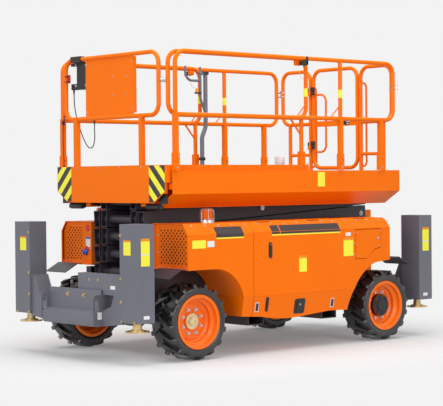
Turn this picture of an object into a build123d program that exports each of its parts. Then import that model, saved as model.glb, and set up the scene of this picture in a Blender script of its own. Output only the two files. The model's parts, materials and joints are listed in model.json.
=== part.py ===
"""Rough-terrain scissor lift with four outriggers and a roll-out deck.

Millimetres. +X is the steering end, +Y the machine's left side, +Z up.
The origin is on the ground, midway between the axles and the sides.
"""
import os
from math import cos, pi, radians, sin, tan

from build123d import *

os.makedirs("parts", exist_ok=True)

# ---------------------------------------------------------------- driving dimensions
WHEELBASE = 2290.0
AXLE_X = WHEELBASE / 2
TYRE_RADIUS = 325.0            # to the lug tips
TYRE_WIDTH = 290.0
WHEEL_Y = 740.0                # middle of the tyre
KINGPIN_Y = 555.0
STEER_ARM = 150.0

DECK_HALF_WIDTH = 800.0
DECK_REAR_X, DECK_FRONT_X = -1435.0, 1355.0
DECK_TOP_Z = 1588.0            # top of the main deck's side plates
DECK_FLOOR_Z = 1490.0
DECK_BEVEL_Z = 1395.0
DECK_BOTTOM_Z = 1277.0
DECK_BOTTOM_Y = 610.0
RAIL_TOP_Z, RAIL_MID_Z = 2590.0, 2060.0
RAIL_R = 19.0                  # 38 mm rail tube
CORNER_R = 100.0

STAGES = 4
STAGE_PITCH = 155.0            # height of one folded stage
ARM_LENGTH = 2620.0            # pin to pin
ARM_HEIGHT, ARM_WIDTH, ARM_WALL = 145.0, 80.0, 6.0
ARM_OVERHANG = 65.0
ARM_REAR_X = -1370.0
ARM_BASE_Z = 711.0
INNER_LANE_Y, OUTER_LANE_Y = 170.0, 274.0      # inner faces of the two lanes
FOLD_ANGLE = 3.3917            # degrees, asin(STAGE_PITCH / ARM_LENGTH)
PIN_R, SLEEVE_R, PIN_GAP = 27.0, 38.0, 0.5

MODULE_REAR_X = -1185.0
MODULE_OUT_Y, MODULE_IN_Y = 900.0, 440.0
MODULE_TOP_Z, MODULE_TOP_Y = 1147.0, 835.0
MODULE_BEVEL_Z, MODULE_TAPER_Z = 1055.0, 510.0
MODULE_BOTTOM_Z, MODULE_BOTTOM_Y = 290.0, 860.0
COVER_SPLIT_X = 540.0
SHEET = 5.0
GAP = 5.0

OUTRIGGER_OUT_Y, OUTRIGGER_WIDTH = 878.0, 227.0
OUTRIGGER_Z0, OUTRIGGER_Z1 = 349.0, 1156.0
SIDES = ((1, "left"), (-1, "right"))
ENDS = ((1, "front"), (-1, "rear"))


# ---------------------------------------------------------------- small helpers
def block(x0, x1, y0, y1, z0, z1):
    """A box from its two corners."""
    middle = Pos((x0 + x1) / 2, (y0 + y1) / 2, (z0 + z1) / 2)
    return middle * Box(abs(x1 - x0), abs(y1 - y0), abs(z1 - z0))


def rod(start, end, radius):
    """A round bar between two points."""
    a, b = Vector(*start), Vector(*end)
    plane = Plane(origin=a, z_dir=b - a)
    return extrude(plane * Circle(radius), (b - a).length)


def bent_tube(points, radius, bend):
    """A round bar along straight runs joined by elbows."""
    corners = [Vector(*point) for point in points]
    start, pieces = corners[0], []
    for before, corner, after in zip(corners, corners[1:], corners[2:]):
        way_in, way_out = (corner - before).normalized(), (after - corner).normalized()
        turn = way_in.get_angle(way_out)
        trim = bend * tan(radians(turn) / 2)
        hinge = way_in.cross(way_out).normalized()
        entry = corner - way_in * trim
        section = Plane(origin=entry, z_dir=way_in) * Circle(radius)
        elbow = revolve(section, Axis(entry + hinge.cross(way_in) * bend, hinge), turn)
        pieces += [rod(start, entry, radius), elbow]
        start = corner + way_out * trim
    return rod(start, corners[-1], radius) + pieces


def side_prism(outline, y0, y1):
    """An outline of (x, z) points, made solid from y0 to y1."""
    face = make_face(Polyline(*outline, close=True))
    return Pos(0, y0, 0) * extrude(Plane.XZ * face, -(y1 - y0))


def end_prism(outline, x0, x1):
    """An outline of (y, z) points, made solid from x0 to x1."""
    face = make_face(Polyline(*outline, close=True))
    return Pos(x0, 0, 0) * extrude(Plane.YZ * face, x1 - x0)


def across(radius, x, z, y0, y1):
    """A round bar along Y."""
    return rod((x, y0, z), (x, y1, z), radius)


def mirrored(shape, side):
    """The shape itself on the left side, its mirror image on the right."""
    return shape if side > 0 else mirror(shape, about=Plane.XZ)


def both_sides(shape):
    return shape + mirror(shape, about=Plane.XZ)


PARTS = {}


def save(name, shape):
    PARTS[name] = shape


# ---------------------------------------------------------------- wheels
LUGS = 16                      # on each side of the tread
LUG_TOP = TYRE_RADIUS - 5.0    # flat face, so that its corners reach the tyre's radius
TYRE_FACETS = 2 * LUGS


def faceted_ring(section, facets):
    """A ring of flat facets from its closed (radius, y) section, round the Y axis."""
    turns = [2 * pi * (index + 0.5) / facets for index in range(facets)]
    rings = [[Vector(r * sin(turn), y, r * cos(turn)) for r, y in section] for turn in turns]
    faces = []
    for index, ring in enumerate(rings):
        after = rings[(index + 1) % facets]
        for k in range(len(section)):
            n = (k + 1) % len(section)
            faces.append(Face(Wire.make_polygon([ring[k], ring[n], after[n], after[k]], close=True)))
    return Solid(Shell(faces))


def tyre():
    """Tyre round its own centre, axle along Y, outer side towards +Y."""
    half = TYRE_WIDTH / 2
    tread = TYRE_RADIUS - 26.0
    carcass = faceted_ring([(214, -116), (214, 116), (264, half), (tread, 122), (tread, -122), (264, -half)],
                           TYRE_FACETS)
    lug_plan = [(-57, -8), (-22, -8), (57, 100), (57, 139), (22, 139)]
    lug = Pos(0, 0, 272) * extrude(make_face(Polyline(*lug_plan, close=True)), LUG_TOP - 272)
    lugs = []
    for index in range(LUGS):
        turn = 360.0 * index / LUGS
        lugs.append(Rot(0, turn, 0) * lug)
        lugs.append(Rot(0, turn + 180.0 / LUGS, 0) * mirror(lug, about=Plane.XZ))
    return carcass + lugs


def rim(hub_radius, hub_face):
    """Deep-dished rim round the wheel's centre, with its hub."""
    outline = [
        (228.7, 132), (228.7, 126), (212, 126), (212, 84), (186, 70), (186, -66), (212, -84), (212, -126),
        (228.7, -126), (228.7, -132), (204, -132), (204, -80), (178, -62), (178, 6), (150, 18), (0, 18),
        (0, 30), (154, 30), (178, 44), (178, 74), (204, 92), (204, 132),
    ]
    face = make_face(Polyline(*[(r, y, 0) for r, y in outline], close=True))
    wheel = revolve(face, Axis.Y)
    hub = Pos(0, (30 + hub_face) / 2, 0) * (Rot(90, 0, 0) * Cylinder(hub_radius, hub_face - 30))
    return wheel + hub


TYRE = tyre()
HUBS = {"front": (75.0, 42.0), "rear": (100.0, 78.0)}      # hub radius, hub face
for end, end_name in ENDS:
    wheel_rim = rim(*HUBS[end_name])
    for side, side_name in SIDES:
        place = Pos(end * AXLE_X, side * WHEEL_Y, TYRE_RADIUS)
        save(f"tyre_{end_name}_{side_name}", place * mirrored(TYRE, side))
        save(f"rim_{end_name}_{side_name}", place * mirrored(wheel_rim, side))

# ---------------------------------------------------------------- axles and steering
AXLE_Z = TYRE_RADIUS
HUB_INNER_Y = WHEEL_Y + 18 - GAP       # where the hub drive ends behind the wheel disc


def axle_beam(x, half_length):
    """Tapered axle tube with a round gear housing and two spring-seat pads."""
    beam = across(60, x, AXLE_Z, -half_length, half_length)
    housing = Pos(x, 0, AXLE_Z) * (Rot(90, 0, 0) * Cylinder(92, 150))
    seats = both_sides(block(x - 70, x + 70, 205, 295, AXLE_Z, 420))
    return beam + housing + seats


def drive_hub(x, y0, y1):
    return across(88, x, AXLE_Z, y0, y0 + 60) + across(70, x, AXLE_Z, y0 + 50, y1)


FORK_Z = (215.0, 245.0, 405.0, 435.0)      # lower and upper ears of the kingpin fork
front_axle = axle_beam(AXLE_X, KINGPIN_Y - 70)
for side, _ in SIDES:
    y = side * KINGPIN_Y
    web = block(AXLE_X - 45, AXLE_X + 45, side * 470, side * 495, FORK_Z[0], FORK_Z[3])
    ears = [block(AXLE_X - 40, AXLE_X + 40, side * 480, y, FORK_Z[0], FORK_Z[1]),
            block(AXLE_X - 40, AXLE_X + 40, side * 480, y, FORK_Z[2], FORK_Z[3]),
            rod((AXLE_X, y, FORK_Z[0]), (AXLE_X, y, FORK_Z[1]), 40),
            rod((AXLE_X, y, FORK_Z[2]), (AXLE_X, y, FORK_Z[3]), 40)]
    front_axle = front_axle + web + ears
    front_axle = front_axle - rod((AXLE_X, y, 200), (AXLE_X, y, 450), 20 + PIN_GAP)

rear_axle = axle_beam(-AXLE_X, 560)
for side, _ in SIDES:
    rear_axle = rear_axle + mirrored(drive_hub(-AXLE_X, 540, HUB_INNER_Y), side)
save("axles", front_axle + rear_axle)

TIE_X, TIE_Z = AXLE_X - STEER_ARM, 318.0
for side, side_name in SIDES:
    pin = rod((AXLE_X, KINGPIN_Y, FORK_Z[0]), (AXLE_X, KINGPIN_Y, FORK_Z[3]), 20)
    knuckle = block(AXLE_X - 38, AXLE_X + 38, 520, 605, FORK_Z[1] + 5, FORK_Z[2] - 5) + pin
    knuckle = knuckle + drive_hub(AXLE_X, 600, HUB_INNER_Y)
    arm = block(TIE_X, AXLE_X - 30, 535, 575, TIE_Z - 36, TIE_Z - 18)
    eye = rod((TIE_X, KINGPIN_Y, TIE_Z - 36), (TIE_X, KINGPIN_Y, TIE_Z - 18), 24)
    ball = rod((TIE_X, KINGPIN_Y, TIE_Z - 20), (TIE_X, KINGPIN_Y, TIE_Z + 14), 9)
    save(f"knuckle_{side_name}", mirrored(knuckle + arm + eye + ball, side))

tie_rod = across(14, TIE_X, TIE_Z, -530, 530)
for side, _ in SIDES:
    tie_rod = tie_rod + rod((TIE_X, side * KINGPIN_Y, TIE_Z - 14),
                            (TIE_X, side * KINGPIN_Y, TIE_Z + 14), 26)
    tie_rod = tie_rod - rod((TIE_X, side * KINGPIN_Y, TIE_Z - 17),
                            (TIE_X, side * KINGPIN_Y, TIE_Z + 17), 9 + PIN_GAP)
save("tie_rod", tie_rod)

# ---------------------------------------------------------------- chassis
CHASSIS_TOP_Z, CHASSIS_LOW_Z = 600.0, 420.0
CHASSIS_END_X = 1620.0
POCKETS_X = (430.0, -470.0)
POCKET_SIZE = (186.0, 86.0, 7.0)       # width, height, wall
POCKET_Z = 246.0
TRACK_Y0, TRACK_Y1 = 362.0, 424.0      # channels that hold the lower rollers
ROLLER_R = 32.0
TRACK_FOOT_Z = ARM_BASE_Z - ROLLER_R - 10


def roller_track(x0, x1, z):
    """A C-shaped roller channel on the left, open towards the middle."""
    outer = block(x0, x1, TRACK_Y0, TRACK_Y1, z - ROLLER_R - 10, z + ROLLER_R + 10)
    slot = block(x0 - 1, x1 - 8, TRACK_Y0 - 1, TRACK_Y1 - 6, z - ROLLER_R - 3, z + ROLLER_R + 3)
    return outer - slot


chassis = both_sides(block(-CHASSIS_END_X, CHASSIS_END_X, 205, 295, CHASSIS_LOW_Z, CHASSIS_TOP_Z))
track_web = both_sides(block(-260, 1350, TRACK_Y1 - 8, TRACK_Y1, CHASSIS_TOP_Z - 60, TRACK_FOOT_Z))
track_foot = both_sides(block(-260, 1350, 290, TRACK_Y1, CHASSIS_TOP_Z - 60, CHASSIS_TOP_Z - 48))
save("chassis_frame", chassis + track_web + track_foot)

width, height, wall = POCKET_SIZE
members = both_sides(block(-760, 760, 215, 285, POCKET_Z + height, CHASSIS_LOW_Z))
for x in (-1560, -700, -60, 700, 1560):
    members = members + block(x - 40, x + 40, -205, 205, CHASSIS_LOW_Z + 20, CHASSIS_TOP_Z - 40)
pockets = None
for x in POCKETS_X:
    tube = block(x - width / 2, x + width / 2, -800, 800, POCKET_Z, POCKET_Z + height)
    tube = tube - block(x - width / 2 + wall, x + width / 2 - wall, -801, 801,
                        POCKET_Z + wall, POCKET_Z + height - wall)
    pockets = tube if pockets is None else pockets + tube
    bracket = block(x - 60, x + 60, 295, MODULE_IN_Y - 1, CHASSIS_LOW_Z + 30, CHASSIS_LOW_Z + 60)
    members = members + both_sides(bracket)
rear_lug = side_prism([(-1430, CHASSIS_TOP_Z), (-1300, CHASSIS_TOP_Z), (-1330, ARM_BASE_Z + 20),
                       (-1345, ARM_BASE_Z + 42), (-1395, ARM_BASE_Z + 42), (-1410, ARM_BASE_Z + 20)], 262,
                           292)
members = members + both_sides(rear_lug) + across(PIN_R, ARM_REAR_X, ARM_BASE_Z, -300, 300)
members = members + across(SLEEVE_R, ARM_REAR_X, ARM_BASE_Z, -INNER_LANE_Y + 3, INNER_LANE_Y - 3)
save("cross_members", members)
ladder_side = block(-1600, -1500, 262, 270, CHASSIS_TOP_Z, 1205) + block(-1506, -1500, 240, 270,
    CHASSIS_TOP_Z, 1205)
ladder_side = ladder_side + block(-1600, -1500, 225, 270, CHASSIS_TOP_Z, CHASSIS_TOP_Z + 8)
ladder = both_sides(ladder_side)
for z in (760, 960, 1160):
    ladder = ladder + across(15, -1555, z, -264, 264)
save("ladder", ladder)
save("fork_pockets", pockets)
save("roller_tracks", both_sides(roller_track(-260, 1350, ARM_BASE_Z)))

# ---------------------------------------------------------------- scissor arms
# A_k, outer lane: rear end at level k, front end at level k - 1.
# B_k, inner lane: rear end at level k - 1, front end at level k.
FOOT_AT, HEAD_AT = 1750.0, 850.0       # cylinder pins, from each inner arm's rear pin
CROSS_R = 32.0
HEAD_TUBE_R, HEAD_TUBE_Z = 24.0, 64.0     # tube above the rod's eye


def level_z(level):
    return ARM_BASE_Z + level * STAGE_PITCH


def arm_pair(lane_y, bored_at):
    """Two hollow arms, lying along +X from the rear pin at the origin."""
    half = ARM_HEIGHT / 2
    x0, x1 = -ARM_OVERHANG, ARM_LENGTH + ARM_OVERHANG
    y0, y1 = lane_y, lane_y + ARM_WIDTH
    outer = block(x0, x1, y0, y1, -half, half)
    inner = block(x0 - 1, x1 + 1, y0 + ARM_WALL, y1 - ARM_WALL, -half + ARM_WALL, half - ARM_WALL)
    arm = outer - inner
    for x in (0, ARM_LENGTH / 2, ARM_LENGTH):
        arm = arm + across(PIN_R + 11, x, 0, y0, y1)
    for x in bored_at:
        arm = arm - across(PIN_R + PIN_GAP, x, 0, y0 - 1, y1 + 1)
    return both_sides(arm)


def inner_arms(stage):
    """Inner pair: bored at its ends, with stub pins for the outer pair at its middle."""
    arms = arm_pair(INNER_LANE_Y, (0,) if stage == STAGES else (0, ARM_LENGTH))
    for side, _ in SIDES:
        arms = arms + across(PIN_R, ARM_LENGTH / 2, 0, side * (INNER_LANE_Y + 2),
                             side * (OUTER_LANE_Y + ARM_WIDTH + 6))
    if stage % 2:
        reach = INNER_LANE_Y + 3
        return arms + across(CROSS_R, FOOT_AT, 0, -reach, reach)
    arms = arms + across(HEAD_TUBE_R, HEAD_AT, HEAD_TUBE_Z, -INNER_LANE_Y + 5, INNER_LANE_Y - 5)
    saddle = block(HEAD_AT - 30, HEAD_AT + 30, INNER_LANE_Y - 10, INNER_LANE_Y + 3, 20, 70)
    lug = block(HEAD_AT - 32, HEAD_AT + 32, 78, 92, -28, HEAD_TUBE_Z)
    return arms + both_sides(saddle) + both_sides(lug)


def outer_arms():
    """Outer pair: a full-width shaft at each end, bored at its middle."""
    arms = arm_pair(OUTER_LANE_Y, (ARM_LENGTH / 2,))
    end_y = OUTER_LANE_Y + ARM_WIDTH
    for x in (0, ARM_LENGTH):
        arms = arms + across(PIN_R, x, 0, -end_y, end_y)
        arms = arms + across(SLEEVE_R, x, 0, -INNER_LANE_Y + 3, INNER_LANE_Y - 3)
    return arms


def rollers(x):
    """End shaft stubs with rollers for the channels outside both lanes."""
    stub = across(PIN_R, x, 0, OUTER_LANE_Y + ARM_WIDTH - 1, TRACK_Y0 + 4)
    wheel = across(ROLLER_R, x, 0, TRACK_Y0 + 3, TRACK_Y1 - 9)
    return both_sides(stub + wheel)


for stage in range(1, STAGES + 1):
    inner = inner_arms(stage)
    outer = outer_arms()
    if stage == 1:
        outer = outer + rollers(ARM_LENGTH)
    if stage == STAGES:
        outer = outer + both_sides(across(PIN_R, 0, 0, OUTER_LANE_Y + ARM_WIDTH - 1, 392))
        inner = inner + across(PIN_R, ARM_LENGTH, 0, -TRACK_Y0 - 1, TRACK_Y0 + 1) + rollers(ARM_LENGTH)
        inner = inner + across(SLEEVE_R, ARM_LENGTH, 0, -INNER_LANE_Y - 2, INNER_LANE_Y + 2)
    save(f"arm_inner_{stage}", Pos(ARM_REAR_X, 0, level_z(stage - 1)) * (Rot(0, -FOLD_ANGLE, 0) * inner))
    save(f"arm_outer_{stage}", Pos(ARM_REAR_X, 0, level_z(stage)) * (Rot(0, FOLD_ANGLE, 0) * outer))

# ---------------------------------------------------------------- lift cylinders
BARREL_R, BORE_R, ROD_R = 52.0, 44.0, 30.0


def along_arm(stage, distance):
    """A point on an inner arm's centre line, folded."""
    angle = radians(FOLD_ANGLE)
    return (ARM_REAR_X + distance * cos(angle), level_z(stage - 1) + distance * sin(angle))


for number, stage in ((1, 1), (2, 3)):
    foot_x, foot_z = along_arm(stage, FOOT_AT)
    head_x, head_z = along_arm(stage + 1, HEAD_AT)
    foot, head = Vector(foot_x, 0, foot_z), Vector(head_x, 0, head_z)
    way = (head - foot).normalized()
    length = (head - foot).length

    def at(distance):
        point = foot + way * distance
        return (point.X, 0, point.Z)

    barrel = rod(at(60), at(length - 80), BARREL_R) - rod(at(80), at(length - 79), BORE_R)
    gland = rod(at(length - 100), at(length - 60), BARREL_R + 4)
    gland = gland - rod(at(length - 101), at(length - 59), ROD_R + PIN_GAP)
    eye = across(CROSS_R + 16, foot_x, foot_z, -55, 55) + rod(at(30), at(70), 40)
    eye = eye - across(CROSS_R + PIN_GAP, foot_x, foot_z, -56, 56)
    save(f"lift_barrel_{number}", barrel + gland + eye)
    piston = rod(at(90), at(120), BORE_R - PIN_GAP) + rod(at(110), at(length - 30), ROD_R)
    head_eye = across(34, head_x, head_z, -45, 45) + across(18, head_x, head_z, -71, 71)
    save(f"lift_rod_{number}", piston + head_eye)

# ---------------------------------------------------------------- outriggers and end beams
BOX_X = (1620.0, 1800.0)
LEG_X = 1712.0
LEG_Y = OUTRIGGER_OUT_Y - OUTRIGGER_WIDTH / 2
PAD_Z = 270.0
boxes = None
for end, end_name in ENDS:
    for side, side_name in SIDES:
        x0, x1 = BOX_X
        y0, y1 = OUTRIGGER_OUT_Y - OUTRIGGER_WIDTH, OUTRIGGER_OUT_Y
        shell = block(x0, x1, y0, y1, OUTRIGGER_Z0, OUTRIGGER_Z1)
        hollow = block(x0 + 6, x1 - 6, y0 + 6, y1 - 6, OUTRIGGER_Z0 + 8, OUTRIGGER_Z1 - 6)
        foot_hole = rod((LEG_X, LEG_Y, OUTRIGGER_Z0 - 1), (LEG_X, LEG_Y, OUTRIGGER_Z0 + 9), 40)
        box = shell - hollow - foot_hole
        leg = rod((LEG_X, LEG_Y, 315), (LEG_X, LEG_Y, OUTRIGGER_Z1 - 60), 34)
        collar = rod((LEG_X, LEG_Y, 288), (LEG_X, LEG_Y, 318), 38)
        pad = rod((LEG_X, LEG_Y, PAD_Z), (LEG_X, LEG_Y, PAD_Z + 12), 100)
        pad = pad + rod((LEG_X, LEG_Y, PAD_Z + 10), (LEG_X, LEG_Y, PAD_Z + 22), 60)
        leg = leg + collar + pad
        if end < 0:
            box, leg = mirror(box, about=Plane.YZ), mirror(leg, about=Plane.YZ)
        box, leg = mirrored(box, side), mirrored(leg, side)
        boxes = box if boxes is None else boxes + box
        save(f"outrigger_leg_{end_name}_{side_name}", leg)
save("outrigger_boxes", boxes)


def end_beam(with_cover):
    """Bumper between the outriggers, with two tie-down plates."""
    inner_y = OUTRIGGER_OUT_Y - OUTRIGGER_WIDTH
    lug = side_prism([(1640, 300), (1840, 300), (1874, 345), (1874, 530), (1862, 556), (1838, 562),
                      (1640, 562)], 369, 381)
    slot = across(20, 1838, 430, 360, 390) + across(20, 1838, 500, 360, 390) + block(1818, 1858, 360, 390,
        430, 500)
    lugs = both_sides(lug - slot)
    back = block(1770, 1784, -369, 369, 300, 600)
    low = side_prism([(1784, 300), (1850, 300), (1866, 330), (1866, 400), (1784, 430)], -369, 369)
    low_hollow = side_prism([(1785, 308), (1846, 308), (1858, 333), (1858, 394), (1785, 420)], -360, 360)
    wing = end_prism([(381, 300), (inner_y, 330), (inner_y, 690), (600, 690), (500, 470), (381, 430)],
        1640, 1780)
    wing_hollow = end_prism([(380, 308), (inner_y - 6, 338), (inner_y - 6, 682), (604, 682),
                             (506, 462), (380, 422)], 1646, 1774)
    beam = lugs + back + (low - low_hollow) + both_sides(wing - wing_hollow)
    beam = beam + block(1620, 1770, -300, 300, 440, 560)
    if with_cover:
        beam = beam + block(1690, 1764, 20, inner_y, 562, 735)
    return beam


save("end_beams", end_beam(True) + mirror(end_beam(False), about=Plane.YZ))

# ---------------------------------------------------------------- side modules
def module_side(grow=0.0):
    """The side's outline: both wheel arches and the waved lower edge."""
    front = ThreePointArc((957, 760), (775, 690), (660, 510))
    rear = ThreePointArc((-640, 316), (-800, 625), (-985, 735))
    edges = [
        Line((1280, 1147), (1280, 760)), Line((1280, 760), (957, 760)), front,
        Line((660, 510), (660, 338)), Line((660, 338), (425, 322)),
        ThreePointArc((425, 322), (157, 290), (-110, 300)),
        Line((-110, 300), (-405, 323)), Line((-405, 323), (-640, 316)), rear,
        Line((-985, 735), (-1185, 754)), Line((-1185, 754), (-1185, 1100)),
        ThreePointArc((-1185, 1100), (-1171, 1133), (-1138, 1147)),
        Line((-1138, 1147), (1280, 1147)),
    ]
    face = make_face(Wire(edges))
    return offset(face, -grow) if grow else face


def section_band(inner, outer):
    """Side skin between two offsets of the bevelled and tapered section."""
    def line(inset):
        return [(MODULE_TOP_Y - 0.7 * inset, MODULE_TOP_Z), (MODULE_OUT_Y - inset, MODULE_BEVEL_Z),
                (MODULE_OUT_Y - inset, MODULE_TAPER_Z), (MODULE_BOTTOM_Y - inset, MODULE_BOTTOM_Z - 2)]
    return line(outer) + line(inner)[::-1]


SIDE_FACE = module_side()
side_block = Pos(0, 400, 0) * extrude(Plane.XZ * SIDE_FACE, -520)
skin = end_prism(section_band(SHEET, 0), -1300, 1300) & side_block


def inside_section(inset):
    """Everything inboard of the skin by this inset."""
    low, high = MODULE_BOTTOM_Z - 20, MODULE_TOP_Z + 20
    return end_prism([(400, high), (MODULE_TOP_Y - inset, high), (MODULE_TOP_Y - inset, MODULE_TOP_Z),
                      (MODULE_OUT_Y - inset, MODULE_BEVEL_Z), (MODULE_OUT_Y - inset, MODULE_TAPER_Z),
                      (MODULE_BOTTOM_Y - inset, MODULE_BOTTOM_Z - 2), (MODULE_BOTTOM_Y - inset, low),
                      (400, low)], -1300, 1300)


def side_skin(x0, x1):
    return skin & block(x0, x1, 700, 1000, 200, 1200)


def arch_liner(inset, x0, x1, z0, z1, skin_gap):
    """Sheet that follows a wheel arch from the inner wall to the skin."""
    inner_face = offset(SIDE_FACE, -inset)
    ring = Pos(0, MODULE_IN_Y, 0) * extrude(Plane.XZ * (SIDE_FACE - inner_face), -500)
    return ring & block(x0, x1, 400, 1000, z0, z1) & inside_section(skin_gap)


HINGE_Y, HINGE_Z, HINGE_R = 829.0, MODULE_TOP_Z, 6.0          # long hinge of the side cover
BODY_KNUCKLES_X = (-900.0, -300.0, 300.0)
COVER_KNUCKLES_X = (-1042.0, -758.0, -442.0, -158.0, 158.0)
GRILLE_WINDOW = [(495, 795), (865, 795), (865, 1050), (806, 1120), (495, 1120)]
GRILLE_PLATE = [(480, 780), (880, 780), (880, 1056), (815, 1134), (480, 1134)]
HOLE_BASE_Y, HOLE_BASE_Z = 514.0, 812.0
HOLE_PITCH, HOLE_ROWS, HOLE_COLUMNS = 46.0, 13, 8


def module_body():
    """Fixed sheet-metal body behind the cover, open to the wheel arches."""
    full = Pos(0, MODULE_IN_Y, 0) * extrude(Plane.XZ * SIDE_FACE, -SHEET)
    arch_hole = across(415, AXLE_X, AXLE_Z, MODULE_IN_Y - 1, MODULE_IN_Y + SHEET + 1)
    body = full - arch_hole - block(-645, 655, 400, 460, 280, 336)
    body = body + block(-1136, 1280, MODULE_IN_Y, MODULE_TOP_Y - 12, MODULE_TOP_Z - SHEET, MODULE_TOP_Z)
    body = body + arch_liner(SHEET, 600, 1285, 338, 770, 3)
    body = body + arch_liner(SHEET, -1190, -600, 316, 760, SHEET + GAP + 2)
    body = body + block(-600, 655, MODULE_IN_Y, MODULE_BOTTOM_Y - 14, 336, 341)
    rear = block(-1185, -1180, MODULE_IN_Y, MODULE_TOP_Y - 14, 750, 1100)
    front = end_prism([(MODULE_IN_Y, 758), (MODULE_OUT_Y - 3, 758), (MODULE_OUT_Y - 3, MODULE_BEVEL_Z),
                       (MODULE_TOP_Y - 3, MODULE_TOP_Z - 2), (MODULE_IN_Y, MODULE_TOP_Z - 2)], 1252, 1257)
    front = front - end_prism(GRILLE_WINDOW, 1251, 1258)
    split = block(COVER_SPLIT_X + GAP, COVER_SPLIT_X + GAP + SHEET, MODULE_IN_Y, MODULE_OUT_Y - 3,
                  520, MODULE_BEVEL_Z)
    knuckles = [rod((x0, HINGE_Y, HINGE_Z), (x0 + 140, HINGE_Y, HINGE_Z), HINGE_R) for x0 in BODY_KNUCKLES_X]
    bores = [rod((x0 - 1, HINGE_Y, HINGE_Z), (x0 + 141, HINGE_Y, HINGE_Z), 3 + PIN_GAP)
             for x0 in BODY_KNUCKLES_X]
    return body + rear + front + split + side_skin(COVER_SPLIT_X + GAP, 1281) + knuckles - bores


def grille():
    """Flat plate behind the front window, with staggered rows of holes."""
    plate = make_face(Polyline(*GRILLE_PLATE, close=True))
    holes = []
    for row in range(HOLE_ROWS):
        z = HOLE_BASE_Z + row * HOLE_PITCH / 2
        for column in range(HOLE_COLUMNS):
            y = HOLE_BASE_Y + (column + row % 2 / 2) * HOLE_PITCH
            slant = MODULE_OUT_Y - max(0.0, z - MODULE_BEVEL_Z) * 0.7 - 42
            if y < slant:
                holes.append(Pos(y, z) * RegularPolygon(10, 6))
    return Pos(1249, 0, 0) * extrude(Plane.YZ * (plate - holes), 3)


DOOR = [(-726, 780), (-726, 1043), (-1058, 1043), (-1058, 876), (-980, 862), (-880, 780)]


def grown(outline, by):
    middle_x = sum(p[0] for p in outline) / len(outline)
    middle_z = sum(p[1] for p in outline) / len(outline)
    return [(x + (by if x > middle_x else -by), z + (by if z > middle_z else -by)) for x, z in outline]


save("side_modules", both_sides(module_body()))
save("grilles", both_sides(grille()))
DOOR_HINGE_X, DOOR_HINGE_Y = -728.0, 902.0
DOOR_KNUCKLES_Z = (795.0, 895.0, 995.0)          # the door's knuckle, with the cover's 17 above it


def door_hinge(leaf_x, lift, radius, height):
    """Knuckles with a leaf on the outer face, on the door's hinge line."""
    pieces = []
    for z0 in DOOR_KNUCKLES_Z:
        low, high = z0 + lift, z0 + lift + height
        pieces.append(rod((DOOR_HINGE_X, DOOR_HINGE_Y, low), (DOOR_HINGE_X, DOOR_HINGE_Y, high), radius))
        pieces.append(block(min(leaf_x, DOOR_HINGE_X), max(leaf_x, DOOR_HINGE_X), 899, 902, low, high))
    return pieces


for side, side_name in SIDES:
    cover = side_skin(MODULE_REAR_X - 1, COVER_SPLIT_X)
    if side > 0:
        cover = cover - side_prism(grown(DOOR, GAP), 880, 910) + door_hinge(-694, 17, 5, 15)
        for z0 in DOOR_KNUCKLES_Z:
            cover = cover + rod((DOOR_HINGE_X, DOOR_HINGE_Y, z0), (DOOR_HINGE_X, DOOR_HINGE_Y, z0 + 20), 2.2)
    for x0 in BODY_KNUCKLES_X:
        cover = cover - block(x0 - 2, x0 + 142, 815, 842, HINGE_Z - 9, HINGE_Z + 9)
    pin = rod((COVER_KNUCKLES_X[0], HINGE_Y, HINGE_Z), (COVER_KNUCKLES_X[-1] + 10, HINGE_Y, HINGE_Z), 3)
    knuckles = [rod((x0, HINGE_Y, HINGE_Z), (x0 + 140, HINGE_Y, HINGE_Z), HINGE_R) for x0 in COVER_KNUCKLES_X]
    save(f"side_cover_{side_name}", mirrored(cover + pin + knuckles, side))

door = side_prism(DOOR, MODULE_OUT_Y - SHEET, MODULE_OUT_Y) + door_hinge(-762, 0, 5, 15)
for z0 in DOOR_KNUCKLES_Z:
    door = door - rod((DOOR_HINGE_X, DOOR_HINGE_Y, z0 - 1), (DOOR_HINGE_X, DOOR_HINGE_Y, z0 + 16),
        2.2 + PIN_GAP)
    door = door - block(DOOR_HINGE_X - 8, DOOR_HINGE_X + 8, 890, 910, z0 + 15, z0 + 34)
save("access_door", door)
save("engine_block", block(-420, 330, -800, -500, 350, 900))

beacon = rod((930, 740, MODULE_TOP_Z), (930, 740, MODULE_TOP_Z + 22), 56)
beacon = beacon + rod((930, 740, MODULE_TOP_Z + 20), (930, 740, MODULE_TOP_Z + 112), 46)
save("beacons", both_sides(beacon))

fender = side_prism([(1285, 768), (1330, 775), (1470, 700), (1470, 694), (1330, 769), (1285, 762)], 575, 880)
fenders = both_sides(fender)
save("fender_plates", fenders + mirror(fenders, about=Plane.YZ))

# ---------------------------------------------------------------- platform
frame_line = [(DECK_HALF_WIDTH, DECK_TOP_Z), (DECK_HALF_WIDTH, DECK_BEVEL_Z), (DECK_BOTTOM_Y, DECK_BOTTOM_Z)]
side_plate = end_prism(frame_line + [(DECK_BOTTOM_Y, DECK_BOTTOM_Z + 6), (DECK_HALF_WIDTH - 5,
    DECK_BEVEL_Z + 3),
                                     (DECK_HALF_WIDTH - 5, DECK_TOP_Z)], DECK_REAR_X, DECK_FRONT_X)
end_outline = [(-DECK_HALF_WIDTH, DECK_TOP_Z), (-DECK_HALF_WIDTH, DECK_BEVEL_Z), (-DECK_BOTTOM_Y,
    DECK_BOTTOM_Z),
               (DECK_BOTTOM_Y, DECK_BOTTOM_Z), (DECK_HALF_WIDTH, DECK_BEVEL_Z), (DECK_HALF_WIDTH, DECK_TOP_Z)]
rear_plate = end_prism(end_outline, DECK_REAR_X, DECK_REAR_X + 5)
rear_plate = rear_plate - block(DECK_REAR_X - 1, DECK_REAR_X + 6, -430, 430, DECK_BOTTOM_Z - 1,
    DECK_FLOOR_Z - 50)
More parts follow.
